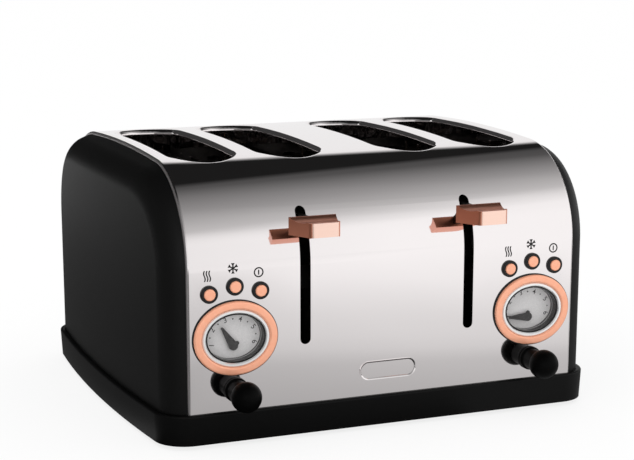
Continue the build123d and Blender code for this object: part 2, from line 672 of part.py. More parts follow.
def latch_magnets():
    top = PLATE_HIGH - KEEPER_WALL - LEVER_TRAVEL - GAP
    back = PLATE_FRONT - GAP
    magnets = []
    for side in SIDES.values():
        x = side * KEEPER_X
        reach = (back - MAGNET_DEPTH, back)
        magnets.append(block((x - MAGNET_WIDTH / 2, x + MAGNET_WIDTH / 2), reach, (FLOOR_TOP, top)))
    return Compound(children=magnets)


# Crumb tray: folded sheet with a thicker pull at the back
def crumb_tray(side):
    middle = side * TRAY_X
    half = TRAY_WIDTH / 2
    front = CHAMBER_FRONT + STUD_HALF + BULKHEAD_GAP
    back = BASE_HALF_DEPTH
    tray = block((middle - half, middle + half), (front, back), (TRAY_LOW, TRAY_HIGH))
    inside_x = (middle - half + TRAY_WALL, middle + half - TRAY_WALL)
    inside_y = (front + TRAY_WALL, back - TRAY_PULL)
    tray -= block(inside_x, inside_y, (TRAY_LOW + TRAY_WALL, TRAY_HIGH + OVERCUT))
    pull_y = (back - TRAY_PULL, back + TRAY_LIP)
    return tray + block((middle - half / 2, middle + half / 2), pull_y, (TRAY_LOW, TRAY_LOW + TRAY_PULL))


# Browning dial
def dial_bezel(side):
    ring = dial_ring(BEZEL_WIDTH, SLIP, FRONT_Y - BEZEL_PROUD, FRONT_Y, side * DIAL_X)
    return fillet(ring.faces().sort_by(Axis.Y)[0].edges(), BEZEL_ROUND)


def dial_trim(side):
    ring = dial_ring(0, -TRIM_WIDTH, FRONT_Y - TRIM_PROUD, INSIDE_Y, side * DIAL_X)
    return chamfer(ring.faces().sort_by(Axis.Y)[0].edges(), TRIM_WIDTH / 4)


def dial_cup(side):
    x = side * DIAL_X
    cup = dial_ring(0, None, CUP_FRONT, CUP_BACK, x)
    cup += dial_ring(-TRIM_WIDTH - SLIP, None, FRONT_Y - RIM_PROUD, CUP_BACK, x)
    cup -= dial_ring(-LENS_INSET, None, FRONT_Y - RIM_PROUD - OVERCUT, CUP_FRONT + CUP_STEP_DEPTH, x)
    cup -= dial_ring(-LENS_INSET - CUP_STEP, None, CUP_FRONT, CUP_BACK - CUP_FLOOR, x)
    return cup - rod_y(ARBOR_RADIUS + GAP, CUP_FRONT, CUP_BACK + OVERCUT, x, NEEDLE_Z)


def dial_face(side):
    x = side * DIAL_X
    face = dial_ring(-LENS_INSET - CUP_STEP - SLIP, None, FACE_FRONT, FACE_FRONT + FACE_WALL, x)
    return face - rod_y(ARBOR_RADIUS + GAP, FACE_FRONT - OVERCUT, FACE_FRONT + OVERCUT, x, NEEDLE_Z)


def dial_lens(side):
    return dial_ring(-LENS_INSET - SLIP, None, FRONT_Y - LENS_WALL, FRONT_Y, side * DIAL_X)


# Needle with its arbor and gear, pointing left at zero turn and clockwise with the browning level
def needle(side):
    x = side * DIAL_X
    rest = NEEDLE_REST_LEFT if side < 0 else NEEDLE_REST_RIGHT
    tip = -NEEDLE_LENGTH
    corners = [(tip, NEEDLE_TIP), (0, NEEDLE_HUB), (0, -NEEDLE_HUB), (tip, -NEEDLE_TIP)]
    blade = Polygon(*corners, align=None) + Circle(NEEDLE_HUB) + Pos(0, NEEDLE_HUB) * Circle(NEEDLE_NIB)
    pointer = Pos(x, NEEDLE_Z) * Rot(0, 0, -rest) * blade
    piece = along_y(pointer, NEEDLE_BACK - NEEDLE_WALL, NEEDLE_BACK)
    piece += rod_y(ARBOR_RADIUS, NEEDLE_BACK - NEEDLE_WALL / 2, BRACKET_BACK, x, NEEDLE_Z)
    gear = gear_outline(TEETH_NEEDLE, gear_turns()[2])
    piece += along_y(Pos(x, NEEDLE_Z) * gear, GEAR_FRONT, GEAR_BACK)
    piece += rod_y(ARBOR_RADIUS + HUB_WALL, GEAR_BACK - GEAR_WALL / 2, BRACKET_FRONT - GAP, x, NEEDLE_Z)
    return piece


def idler_gear(side):
    x = side * DIAL_X
    outline = gear_outline(TEETH_IDLER, gear_turns()[1])
    gear = along_y(Pos(x, IDLER_Z) * outline, GEAR_FRONT, GEAR_BACK)
    gear += rod_y(IDLER_PIN + HUB_WALL, GEAR_BACK - GEAR_WALL / 2, BRACKET_FRONT - GAP, x, IDLER_Z)
    return gear - rod_y(IDLER_PIN + RUN_FIT, GEAR_FRONT - OVERCUT, BRACKET_FRONT, x, IDLER_Z)


def browning_spindle(side):
    x = side * DIAL_X
    spindle = rod_y(SHAFT_RADIUS, SHAFT_END, BRACKET_BACK, x, KNOB_Z)
    gear = gear_outline(TEETH_KNOB, gear_turns()[0])
    return spindle + along_y(Pos(x, KNOB_Z) * gear, GEAR_FRONT, GEAR_BACK)


# Browning knob: ball on a stout neck with a flange, turned about the spindle
def browning_knob(side):
    x = side * DIAL_X
    back = FRONT_Y - KNOB_GAP
    knob = rod_y(KNOB_FLANGE, back - KNOB_FLANGE_WALL, back, x, KNOB_Z)
    knob = fillet(knob.faces().sort_by(Axis.Y)[0].edges(), KNOB_FLANGE_WALL / 2)
    knob += rod_y(KNOB_NECK, BALL_Y, back, x, KNOB_Z)
    knob += Pos(x, BALL_Y, KNOB_Z) * Sphere(BALL_RADIUS)
    return knob - rod_y(SHAFT_RADIUS + RUN_FIT, SHAFT_END - SLIP, back + OVERCUT, x, KNOB_Z)


# Bracket behind each dial: carries the spindle, the idler's pin, the arbor and the control board
def control_bracket(side):
    x = side * DIAL_X
    wide = (x - BRACKET_HALF_WIDTH, x + BRACKET_HALF_WIDTH)
    plate = block(wide, (BRACKET_FRONT, BRACKET_BACK), (KNOB_Z - BRACKET_FOOT, BOARD_HIGH))
    board_z = (BOARD_LOW + BOARD_HIGH) / 2
    for offset in (-POST_OFFSET, POST_OFFSET):
        for z in (POST_LOW, POST_HIGH):
            plate += rod_y(POST_RADIUS, INSIDE_Y, BRACKET_BACK, x + offset, z)
        plate += rod_y(POST_RADIUS, BOARD_FRONT + BOARD_WALL, BRACKET_BACK, x + offset, board_z)
    plate += rod_y(IDLER_PIN, GEAR_FRONT - GAP, BRACKET_BACK, x, IDLER_Z)
    plate -= rod_y(SHAFT_RADIUS + RUN_FIT, BRACKET_FRONT - OVERCUT, BRACKET_BACK + OVERCUT, x, KNOB_Z)
    return plate - rod_y(ARBOR_RADIUS + RUN_FIT, BRACKET_FRONT - OVERCUT, BRACKET_BACK + OVERCUT, x, NEEDLE_Z)


def control_boards():
    boards = []
    for side in SIDES.values():
        x = side * DIAL_X
        wide = (x - BRACKET_HALF_WIDTH, x + BRACKET_HALF_WIDTH)
        board = block(wide, (BOARD_FRONT, BOARD_FRONT + BOARD_WALL), (BOARD_LOW, BOARD_HIGH))
        half = SWITCH_SIZE / 2
        for spot_x, spot_z in button_spots(side).values():
            body = (SWITCH_FRONT, BOARD_FRONT)
            board += block((spot_x - half, spot_x + half), body, (spot_z - half, spot_z + half))
        boards.append(board)
    return Compound(children=boards)


# Push buttons in their collars
def push_button(x, z):
    cap = rod_y(BUTTON_RADIUS, FRONT_Y - BUTTON_PROUD, BUTTON_BACK, x, z)
    cap = fillet(cap.faces().sort_by(Axis.Y)[0].edges(), BUTTON_ROUND)
    cap += rod_y(BUTTON_FLANGE, BUTTON_BACK, BUTTON_BACK + BUTTON_FLANGE_WALL, x, z)
    return cap + rod_y(BUTTON_STEM, BUTTON_BACK, BUTTON_END, x, z)


def button_collars(side):
    collars = []
    for x, z in button_spots(side).values():
        collar = rod_y(COLLAR_RADIUS, FRONT_Y - COLLAR_PROUD, FRONT_Y, x, z)
        collar = fillet(collar.faces().sort_by(Axis.Y)[0].edges(), COLLAR_ROUND)
        collar += rod_y(COLLAR_BARREL, FRONT_Y - COLLAR_PROUD / 2, BUTTON_BACK - SLIP, x, z)
        collars.append(collar - rod_y(BUTTON_BORE, FRONT_Y - BUTTON_PROUD, BUTTON_BACK, x, z))
    return Compound(children=collars)


def base_screws():
    screws = []
    for x in (-SCREW_X, SCREW_X):
        for y in (-SCREW_Y, SCREW_Y):
            screw = rod_z(SCREW_RADIUS, FOOT_HEIGHT, FOOT_HEIGHT + SCREW_LENGTH, x, y)
            screws.append(screw + rod_z(SCREW_HEAD, FOOT_HEIGHT - SCREW_HEAD_HEIGHT, FOOT_HEIGHT, x, y))
    return Compound(children=screws)


# Cord gland in the back of the plinth
def cord_gland():
    back = BASE_HALF_DEPTH + BASE_SPREAD
    inside = BASE_HALF_DEPTH - BASE_WALL - GLAND_TAIL
    gland = rod_y(GLAND_BARREL, inside, back + GLAND_NOSE, 0, GLAND_Z)
    gland += rod_y(GLAND_FLANGE, back, back + GLAND_FLANGE_WALL, 0, GLAND_Z)
    return gland - rod_y(GLAND_BORE, inside - OVERCUT, back + GLAND_NOSE + OVERCUT, 0, GLAND_Z)


def assembly():
    """Every node's name with its solid."""
    nodes = {
        "base_tray": base_tray(),
        "feet": feet(),
        "base_screws": base_screws(),
        "cord_gland": cord_gland(),
        "steel_wrap": steel_wrap(),
        "front_bulkhead": front_bulkhead(),
        "rear_bulkhead": rear_bulkhead(),
        "guide_rods": guide_rods(),
        "latch_magnets": latch_magnets(),
        "control_boards": control_boards(),
    }
    makers = {
        "end_panel": end_panel,
        "heater_boards": heater_boards,
        "carriage": carriage,
        "bread_racks": bread_racks,
        "lever_knob": lever_knob,
        "return_spring": return_spring,
        "crumb_tray": crumb_tray,
        "dial_bezel": dial_bezel,
        "dial_trim": dial_trim,
        "dial_cup": dial_cup,
        "dial_face": dial_face,
        "dial_lens": dial_lens,
        "dial_needle": needle,
        "idler_gear": idler_gear,
        "browning_spindle": browning_spindle,
        "browning_knob": browning_knob,
        "control_bracket": control_bracket,
        "button_collars": button_collars,
    }
    for side_name, side in SIDES.items():
        for name, maker in makers.items():
            nodes[f"{name}_{side_name}"] = maker(side)
        for button, (x, z) in button_spots(side).items():
            nodes[f"{button}_button_{side_name}"] = push_button(x, z)
        for slot_name, slot in SLOTS.items():
            for hand_name, hand in SIDES.items():
                nodes[f"guard_{side_name}_{slot_name}_{hand_name}"] = bread_guard(side, slot, hand)
    return nodes


os.makedirs("parts", exist_ok=True)
for node_name, node_shape in assembly().items():
    export_step(node_shape, f"parts/{node_name}.step")
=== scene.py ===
# %% [markdown]
# # A four-slot toaster, dressed for its photograph
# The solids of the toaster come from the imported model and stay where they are. This lesson gives every
# surface its finish, adds the printed marks, seals, badge dish, heating ribbon and coil springs, and
# sets up the light of a product photograph: a white sweep and graded cards for the polished steel to show.

# %% Load the frame
import json
import math

import bpy
from mathutils import Matrix, Vector


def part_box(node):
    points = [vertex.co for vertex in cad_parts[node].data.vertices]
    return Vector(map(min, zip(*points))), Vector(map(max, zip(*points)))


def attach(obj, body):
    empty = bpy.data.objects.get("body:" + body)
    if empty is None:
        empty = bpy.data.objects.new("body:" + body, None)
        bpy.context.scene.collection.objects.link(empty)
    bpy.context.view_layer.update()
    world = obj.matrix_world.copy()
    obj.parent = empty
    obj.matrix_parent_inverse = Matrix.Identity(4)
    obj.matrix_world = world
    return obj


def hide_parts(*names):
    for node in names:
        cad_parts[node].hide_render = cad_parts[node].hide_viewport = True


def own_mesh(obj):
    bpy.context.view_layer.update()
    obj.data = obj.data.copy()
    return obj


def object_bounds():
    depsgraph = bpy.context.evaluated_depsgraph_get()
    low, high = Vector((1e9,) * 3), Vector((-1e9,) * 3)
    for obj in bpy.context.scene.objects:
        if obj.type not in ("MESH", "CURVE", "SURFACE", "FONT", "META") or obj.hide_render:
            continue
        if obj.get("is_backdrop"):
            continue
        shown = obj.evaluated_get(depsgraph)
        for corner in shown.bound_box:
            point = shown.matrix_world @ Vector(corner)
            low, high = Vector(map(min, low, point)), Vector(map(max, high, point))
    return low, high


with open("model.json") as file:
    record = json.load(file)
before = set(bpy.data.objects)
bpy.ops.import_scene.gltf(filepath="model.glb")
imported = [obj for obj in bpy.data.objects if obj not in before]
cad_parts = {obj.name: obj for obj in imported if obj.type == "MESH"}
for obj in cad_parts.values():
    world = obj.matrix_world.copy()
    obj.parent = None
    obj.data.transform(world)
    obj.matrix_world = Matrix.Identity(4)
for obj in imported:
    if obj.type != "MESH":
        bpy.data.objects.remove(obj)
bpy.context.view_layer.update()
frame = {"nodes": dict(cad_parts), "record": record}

nodes = frame["nodes"]
MM = 0.001

# %% [markdown]
# ## Smooth shading on the solids
# A solid arrives as loose triangles, so each one would catch the light by itself. A Weld modifier joins
# them, Edge Split keeps the true edges sharp, and Weighted Normal lets the large flat faces rule the
# shading, so that polished sheet reflects without waves. Modifiers leave the solid itself alone.

# %% Weld and smooth each solid
WELD_GAP = 0.002 * MM
SHARP_ANGLE = math.radians(28)


def smooth_solid(piece):
    """Join a solid's loose triangles and shade it smoothly up to its true edges."""
    mesh = piece.data
    mesh.polygons.foreach_set("use_smooth", [True] * len(mesh.polygons))
    weld = piece.modifiers.new("weld", "WELD")
    weld.merge_threshold = WELD_GAP
    split = piece.modifiers.new("true_edges", "EDGE_SPLIT")
    split.split_angle = SHARP_ANGLE
    split.use_edge_sharp = False
    weighted = piece.modifiers.new("flat_faces_rule", "WEIGHTED_NORMAL")
    weighted.keep_sharp = True


for solid in nodes.values():
    smooth_solid(solid)
print("smoothed", len(nodes), "solids")

# %% [markdown]
# ## Colours and nodes
# Colours are written as the eye picks them, in sRGB hex, and turned to linear light once. One small
# function adds a node: what it is given for an input is either a value or another node's output, which it
# links. Every finish of the toaster is built with it, and ends in one Principled shader.

# %% Colour and node helpers
def linear(code):
    """Linear RGBA of an sRGB hex colour."""
    parts = [int(code[i:i + 2], 16) / 255 for i in (1, 3, 5)]
    return tuple(c / 12.92 if c <= 0.04045 else ((c + 0.055) / 1.055) ** 2.4 for c in parts) + (1.0,)


def add_node(tree, kind, inputs=None, **settings):
    """Add a node with its settings. An input that is given another node's output is linked to it."""
    node = tree.nodes.new(kind)
    for name, value in settings.items():
        setattr(node, name, value)
    for name, value in (inputs or {}).items():
        if isinstance(value, bpy.types.NodeSocket):
            tree.links.new(value, node.inputs[name])
        else:
            node.inputs[name].default_value = value
    return node


def set_stops(ramp, stops):
    """Set the places and colours of a colour ramp's stops."""
    elements = ramp.color_ramp.elements
    while len(elements) < len(stops):
        elements.new(1.0)
    for element, (place, colour) in zip(elements, stops):
        element.position = place
        element.color = colour


def blank_finish(name):
    """A material with an empty node tree."""
    material = bpy.data.materials.new(name)
    material.use_nodes = True
    material.node_tree.nodes.clear()
    return material, material.node_tree


print("white is", linear("#FFFFFF"))

# %% [markdown]
# ## Polished steel
# The wrap is stainless sheet, rolled and then buffed to a mirror. It has almost no colour of its own: it
# shows the studio, slightly warm. What tells it from chrome is a faint cloudiness left by the buffing wheel,
# drawn out from side to side. The clouds are far larger than the scratches, which are too fine to show. The
# folded hem at both ends is out of the wheel's reach and stays satin.

# %% Polished stainless
STEEL_COLOUR = "#F6F1F1"
CLOUD_SIZE = 9 * MM
CLOUD_STRETCH = (0.25, 1, 1)
CLOUD_DETAIL = 4.0
CLOUD_POLISH = {"To Min": 0.03, "To Max": 0.07}
HEM_SATIN = {"From Min": 141.3 * MM, "From Max": 141.9 * MM, "To Max": 0.4}


def polished_stainless():
    """Buffed stainless sheet: a mirror with a slightly warm cast, a faint cloudiness and a satin hem."""
    material, tree = blank_finish("polished_stainless")
    place = add_node(tree, "ShaderNodeTexCoord")
    drawn = add_node(tree, "ShaderNodeMapping", {"Vector": place.outputs["Object"], "Scale": CLOUD_STRETCH})
    cloud = add_node(tree, "ShaderNodeTexNoise", {"Vector": drawn.outputs["Vector"], "Scale": 1 / CLOUD_SIZE,
                                                  "Detail": CLOUD_DETAIL})
    polish = add_node(tree, "ShaderNodeMapRange", {"Value": cloud.outputs["Fac"], **CLOUD_POLISH})
    axes = add_node(tree, "ShaderNodeSeparateXYZ", {"Vector": place.outputs["Object"]})
    aside = add_node(tree, "ShaderNodeMath", {0: axes.outputs["X"]}, operation="ABSOLUTE")
    satin = add_node(tree, "ShaderNodeMapRange", {"Value": aside.outputs[0], **HEM_SATIN})
    rough = add_node(tree, "ShaderNodeMath", {0: polish.outputs["Result"], 1: satin.outputs["Result"]},
                     operation="ADD")
    shader = add_node(tree, "ShaderNodeBsdfPrincipled", {"Base Color": linear(STEEL_COLOUR), "Metallic": 1.0,
                                                         "Roughness": rough.outputs[0]})
    add_node(tree, "ShaderNodeOutputMaterial", {"Surface": shader.outputs["BSDF"]})
    return material


FINISHES = {"polished_steel": polished_stainless()}
print("steel", STEEL_COLOUR)

# %% [markdown]
# ## One noise for many finishes
# Most other surfaces of the toaster are uneven in small ways: a tint that varies a little, patches that are
# duller, a fine grain. A single noise of the size of these marks can steer all of that, so such finishes
# share one function, and each gives it its own colours and numbers.

# %% Finish with one noise
NOISE_DETAIL = 2.0


def noise_finish(name, size, look, tint=(), polish=(), bump=(), detail=NOISE_DETAIL):
    """A finish with this look, whose tint, roughness and bump follow one noise of a real size.

    The tint is a list of levels and colours, the polish the least and most roughness, and the bump its
    strength and its depth. What isn't given stays even.
    """
    material, tree = blank_finish(name)
    place = add_node(tree, "ShaderNodeTexCoord")
    noise = add_node(tree, "ShaderNodeTexNoise", {"Vector": place.outputs["Object"], "Scale": 1 / size,
                                                  "Detail": detail})
    look = dict(look)
    if tint:
        ramp = add_node(tree, "ShaderNodeValToRGB", {"Fac": noise.outputs["Fac"]})
        set_stops(ramp, [(level, linear(colour)) for level, colour in tint])
        look["Base Color"] = ramp.outputs["Color"]
    if polish:
        sheen = add_node(tree, "ShaderNodeMapRange", {"Value": noise.outputs["Fac"], "To Min": polish[0],
                                                      "To Max": polish[1]})
        look["Roughness"] = sheen.outputs["Result"]
    if bump:
        skin = add_node(tree, "ShaderNodeBump", {"Height": noise.outputs["Fac"], "Strength": bump[0],
                                                 "Distance": bump[1]})
        look["Normal"] = skin.outputs["Normal"]
    shader = add_node(tree, "ShaderNodeBsdfPrincipled", look)
    add_node(tree, "ShaderNodeOutputMaterial", {"Surface": shader.outputs["BSDF"]})
    return material


print("noise detail", NOISE_DETAIL)

# %% [markdown]
# ## Rose gold and chrome
# Levers, bezels and button caps have a copper-coloured gold. On the bezels and caps it is a metallic
# lacquer, which spreads part of its light like paint, so they keep their colour on every side. The levers
# are plated castings with a front face glossier than their satin sides, its colour painted paler and
# brighter as a painted highlight. Both have small differences in sheen. The thin ring inside each bezel is
# plain bright chrome.

# %% Plated trim
HIGHLIGHT_AND_GLOSS_DEPTH = 0.5 * MM
# The paler colour of the front face is a painted highlight; the sides keep the plating's own colour.
PLATE_TINT_WITH_FACE_HIGHLIGHT = [(0.3, "#FFDBCB"), (1.0, "#F29F80")]
PLATE_CLOUD = 4 * MM
PLATE_POLISH = {"To Min": 0.12, "To Max": 0.18}
SIDE_SATIN = 0.19


def rose_gold_plate():
    """Copper-gold plating on the levers: a glossy front face painted paler as a highlight, and satin sides.
    """
    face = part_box("lever_knob_left")[0][1]
    material, tree = blank_finish("rose_gold_plate")
    place = add_node(tree, "ShaderNodeTexCoord")
    axes = add_node(tree, "ShaderNodeSeparateXYZ", {"Vector": place.outputs["Object"]})
    depth = add_node(tree, "ShaderNodeMapRange", {"Value": axes.outputs["Y"], "From Min": face,
                                                  "From Max": face + HIGHLIGHT_AND_GLOSS_DEPTH})
    # Painted highlight: the colour fades from pale on the front face to the sides' own colour over this
    # depth.
    tint = add_node(tree, "ShaderNodeValToRGB", {"Fac": depth.outputs["Result"]})
    set_stops(tint, [(level, linear(colour)) for level, colour in PLATE_TINT_WITH_FACE_HIGHLIGHT])
    cloud = add_node(tree, "ShaderNodeTexNoise", {"Vector": place.outputs["Object"],
                                                  "Scale": 1 / PLATE_CLOUD})
    polish = add_node(tree, "ShaderNodeMapRange", {"Value": cloud.outputs["Fac"], **PLATE_POLISH})
    rough = add_node(tree, "ShaderNodeMath", {0: depth.outputs["Result"], 1: SIDE_SATIN,
                                              2: polish.outputs["Result"]}, operation="MULTIPLY_ADD")
    shader = add_node(tree, "ShaderNodeBsdfPrincipled", {"Base Color": tint.outputs["Color"],
                                                         "Metallic": 1.0, "Roughness": rough.outputs[0]})
    add_node(tree, "ShaderNodeOutputMaterial", {"Surface": shader.outputs["BSDF"]})
    return material


PLATED = rose_gold_plate()
# Metallic lacquer on bezels and caps: copper-coloured, part paint and part mirror.
FINISHES["rose_gold"] = noise_finish(
    "rose_gold_lacquer", 3 * MM, {"Metallic": 0.35}, tint=[(0.3, "#FFB290"), (0.7, "#FFB999")],
    polish=(0.2, 0.26))
# Chrome plate on the dial's inner ring: bright and barely clouded.
FINISHES["dial_silver"] = noise_finish(
    "chrome_trim", 2 * MM, {"Base Color": linear("#FAFAFA"), "Metallic": 0.7}, polish=(0.14, 0.2))
print("finishes so far:", *FINISHES)

# %% [markdown]
# ## Metals inside
# The toasting chamber is zinc plated sheet that years of heat would dull, the bread guards and racks are
# drawn wire that browns, and the latch magnet is a raw casting. None of them is meant to be seen. The sheet
# and wire are darkened in colour as painted shade for the deep slots, where they are almost black.

# %% Inner metals
SPANGLE_SIZE = 5 * MM
# Spangle tones, darkened as painted shade for the inside of the slots.
SPANGLE_TINT_IN_PAINTED_SHADE = [(0.1, "#403F3D"), (0.8, "#504E4C")]
SPANGLE_POLISH = {"To Min": 0.36, "To Max": 0.52}


def zinc_sheet():
    """Zinc plated steel sheet, dulled by heat, with the blotched spangle of the plating, darkened as painted
    shade.
    """
    material, tree = blank_finish("zinc_sheet")
    place = add_node(tree, "ShaderNodeTexCoord")
    spangle = add_node(tree, "ShaderNodeTexVoronoi", {"Vector": place.outputs["Object"],
                                                      "Scale": 1 / SPANGLE_SIZE})
    tint = add_node(tree, "ShaderNodeValToRGB", {"Fac": spangle.outputs["Distance"]})
    set_stops(tint, [(level, linear(colour)) for level, colour in SPANGLE_TINT_IN_PAINTED_SHADE])
    dull = add_node(tree, "ShaderNodeMapRange", {"Value": spangle.outputs["Distance"], **SPANGLE_POLISH})
    shader = add_node(tree, "ShaderNodeBsdfPrincipled", {"Base Color": tint.outputs["Color"],
                                                         "Metallic": 1.0,
                                                         "Roughness": dull.outputs["Result"]})
    add_node(tree, "ShaderNodeOutputMaterial", {"Surface": shader.outputs["BSDF"]})
    return material


FINISHES["sheet_zinc"] = zinc_sheet()
# Drawn steel wire and ribbon, browned in patches by the heat of toasting, and darkened as painted shade.
FINISHES["wire_steel"] = noise_finish(
    "drawn_wire", 6 * MM, {"Metallic": 1.0, "Roughness": 0.4}, tint=[(0.35, "#3A332D"), (0.65, "#57504A")])
# Cast iron of the latch magnet: grey, with the rough skin that the sand leaves.
FINISHES["magnet_iron"] = noise_finish(
    "cast_magnet", 0.8 * MM, {"Base Color": linear("#4A4744"), "Metallic": 1.0, "Roughness": 0.6},
    bump=(0.4, 0.1 * MM))
print("finishes so far:", *FINISHES)

# %% [markdown]
# ## Black mouldings
# End panels are moulded ABS from a finely eroded mould, so they have a soft satin sheen. The plinth is the
# same plastic with a coarser grain. Ball knobs are phenolic, turned and rubbed smooth, collars a harder,
# glossier moulding, and the feet rubber. The real grain is a tenth of a millimetre, too fine to show, so it
# is drawn several times coarser.

# %% Black plastics and rubber
# End panels: black ABS with the soft sheen of a spark-eroded mould.
FINISHES["panel_black"] = noise_finish(
    "satin_black_abs", 0.7 * MM, {"Base Color": linear("#0A0A0A"), "Specular IOR Level": 0.22},
    polish=(0.42, 0.52), bump=(0.06, 0.03 * MM))
# Plinth: the same black with a coarser grain and less sheen.
FINISHES["base_black"] = noise_finish(
    "grained_black_abs", 0.9 * MM, {"Base Color": linear("#070707"), "Specular IOR Level": 0.15},
    polish=(0.4, 0.54), bump=(0.12, 0.04 * MM))
# Feet: matte rubber with a dusty bloom.
FINISHES["foot_rubber"] = noise_finish(
    "foot_rubber", 5 * MM, {"Roughness": 0.8}, tint=[(0.35, "#141414"), (0.65, "#262626")])
# Ball knobs: turned black phenolic, deep black with a soft gleam.
FINISHES["knob_black"] = noise_finish(
    "gloss_phenolic", 2 * MM, {"Base Color": linear("#040404"), "Specular IOR Level": 0.05},
    polish=(0.34, 0.44))
# Button collars: a hard moulding with a low gloss.
FINISHES["collar_black"] = noise_finish(
    "collar_moulding", 1.5 * MM, {"Base Color": linear("#151414"), "Specular IOR Level": 0.3},
    polish=(0.26, 0.4))
print("finishes so far:", *FINISHES)

# %% [markdown]
# ## The dial
# Each dial is a dark moulded well with a screen-printed silver face, a painted needle and a clear lens over
# it. Where a step in the well's wall catches the light, a pale band is painted into the wall's colour as a
# painted highlight, and the wall is pale again where it meets the face. The lens is given mostly as
# transparency, so that the face behind it keeps its colour.

# %% Dial finishes
WELL_DEPTH = {"From Min": -144.4 * MM, "From Max": -137.5 * MM}
# Colours down the well by depth; the pale band at 0.725 is a painted highlight for the light on the step.
WELL_TINT_WITH_PAINTED_LEDGE = [(0.0, "#0E0E0E"), (0.06, "#454444"), (0.67, "#454444"), (0.725, "#B0AFAF"), (0.78, "#3C3B3B"),
             (0.9, "#454444"), (1.0, "#B5B3B3")]
WELL_SMEAR = 2 * MM
WELL_POLISH = {"To Min": 0.3, "To Max": 0.42}


def dial_well():
    """Moulded well around the dial face: a black rim, a dark wall, a painted highlight for the ledge, pale
    at the face.
    """
    material, tree = blank_finish("dial_well")
    place = add_node(tree, "ShaderNodeTexCoord")
    axes = add_node(tree, "ShaderNodeSeparateXYZ", {"Vector": place.outputs["Object"]})
    depth = add_node(tree, "ShaderNodeMapRange", {"Value": axes.outputs["Y"], **WELL_DEPTH})
    tint = add_node(tree, "ShaderNodeValToRGB", {"Fac": depth.outputs["Result"]})
    set_stops(tint, [(level, linear(colour)) for level, colour in WELL_TINT_WITH_PAINTED_LEDGE])
    smear = add_node(tree, "ShaderNodeTexNoise", {"Vector": place.outputs["Object"],
                                                  "Scale": 1 / WELL_SMEAR})
    polish = add_node(tree, "ShaderNodeMapRange", {"Value": smear.outputs["Fac"], **WELL_POLISH})
    shader = add_node(tree, "ShaderNodeBsdfPrincipled", {"Base Color": tint.outputs["Color"],
                                                         "Roughness": polish.outputs["Result"],
                                                         "Specular IOR Level": 0.3})
    add_node(tree, "ShaderNodeOutputMaterial", {"Surface": shader.outputs["BSDF"]})
    return material


FINISHES["dial_black"] = dial_well()
# Dial face: silver-grey, with the faint shimmer of a screen print.
FINISHES["dial_grey"] = noise_finish(
    "dial_print", 1.2 * MM, {"Roughness": 0.5}, tint=[(0.35, "#E8E6E6"), (0.65, "#EFEDED")])
# Needle and numbers: dark grey paint, a little uneven.
FINISHES["needle_grey"] = noise_finish(
    "needle_paint", 1.5 * MM, {"Roughness": 0.45, "Specular IOR Level": 0.3},
    tint=[(0.35, "#403F3F"), (0.65, "#4A4949")])
# Moulded lens: almost nothing but a thin gloss, with faint flow marks from the mould.
FINISHES["dial_glass"] = noise_finish(
    "clear_lens", 8 * MM, {"Base Color": linear("#101010"), "Alpha": 0.06}, polish=(0.02, 0.05))
# Black pad-printing ink for the marks: matte, a little thinner in places.
INK = noise_finish(
    "printing_ink", 0.8 * MM, {"Roughness": 0.6, "Specular IOR Level": 0.2},
    tint=[(0.35, "#161616"), (0.65, "#262525")])
print("finishes so far:", *FINISHES)

# %% [markdown]
# ## Boards and gears
# Heating ribbon is wound on boards of split mica, which is flaky and browns. Gears and spindles are acetal,
# a waxy white plastic that lets a little light in. The controls sit on green laminate, whose cloth has a
# weave that is drawn at a pitch of one millimetre.

# %% Board and gear finishes
WEAVE_PITCH = 1 * MM
WEAVE_COLOURS = ("#18432A", "#205031")


def circuit_laminate():
    """Green lacquered laminate with the weave of its glass cloth."""
    material, tree = blank_finish("circuit_laminate")
    place = add_node(tree, "ShaderNodeTexCoord")
    weave = add_node(tree, "ShaderNodeTexChecker", {
        "Vector": place.outputs["Object"], "Scale": 1 / WEAVE_PITCH, "Color1": linear(WEAVE_COLOURS[0]),
        "Color2": linear(WEAVE_COLOURS[1])})
    shader = add_node(tree, "ShaderNodeBsdfPrincipled", {"Base Color": weave.outputs["Color"],
                                                         "Roughness": 0.35})
    add_node(tree, "ShaderNodeOutputMaterial", {"Surface": shader.outputs["BSDF"]})
    return material


FINISHES["circuit_board"] = circuit_laminate()
# Split mica: flaky and silvery brown, its colour darkened as painted shade for the inside of the slots.
FINISHES["mica"] = noise_finish(
    "mica_board", 7 * MM, {"Roughness": 0.5}, tint=[(0.35, "#191613"), (0.65, "#231F1A")],
    bump=(0.2, 0.1 * MM), detail=5.0)
# Acetal of the gears and spindles: off-white and waxy.
FINISHES["gear_white"] = noise_finish(
    "acetal", 1.5 * MM, {"Base Color": linear("#E2DFD6"), "Subsurface Weight": 0.1,
                         "Subsurface Scale": 0.5 * MM}, polish=(0.34, 0.48))
print("finishes in all:", *FINISHES)

# %% [markdown]
# ## Give every solid its finish
# The record names a material slot for each node, and the table of finishes has one entry for each slot. Only
# the levers, which share the rose gold slot, get their plating instead of the lacquer.

# %% Assign the finishes
SIDES = ("left", "right")
SLOT_OF = {part["node"]: part["material_slot"] for part in frame["record"]["subparts"]}


def dress(piece, finish):
    """Give a piece one finish and nothing else."""
    piece.data.materials.clear()
    piece.data.materials.append(finish)


for node_name, solid in nodes.items():
    dress(solid, FINISHES[SLOT_OF[node_name]])
for side in SIDES:
    dress(nodes[f"lever_knob_{side}"], PLATED)
print("dressed", len(nodes), "solids in", len(FINISHES) + 1, "finishes")

# %% [markdown]
# ## Working by hand
# New pieces start from a primitive that is shaped in edit mode and finished with applied modifiers. These
# helpers do what the hand does between the steps: let go of everything, write a piece's place into its mesh,
# apply a modifier, join, and make a copy that has its own mesh.

# %% Hand helpers
STANDING = (math.radians(90), 0, 0)
BODY = "toaster_body"


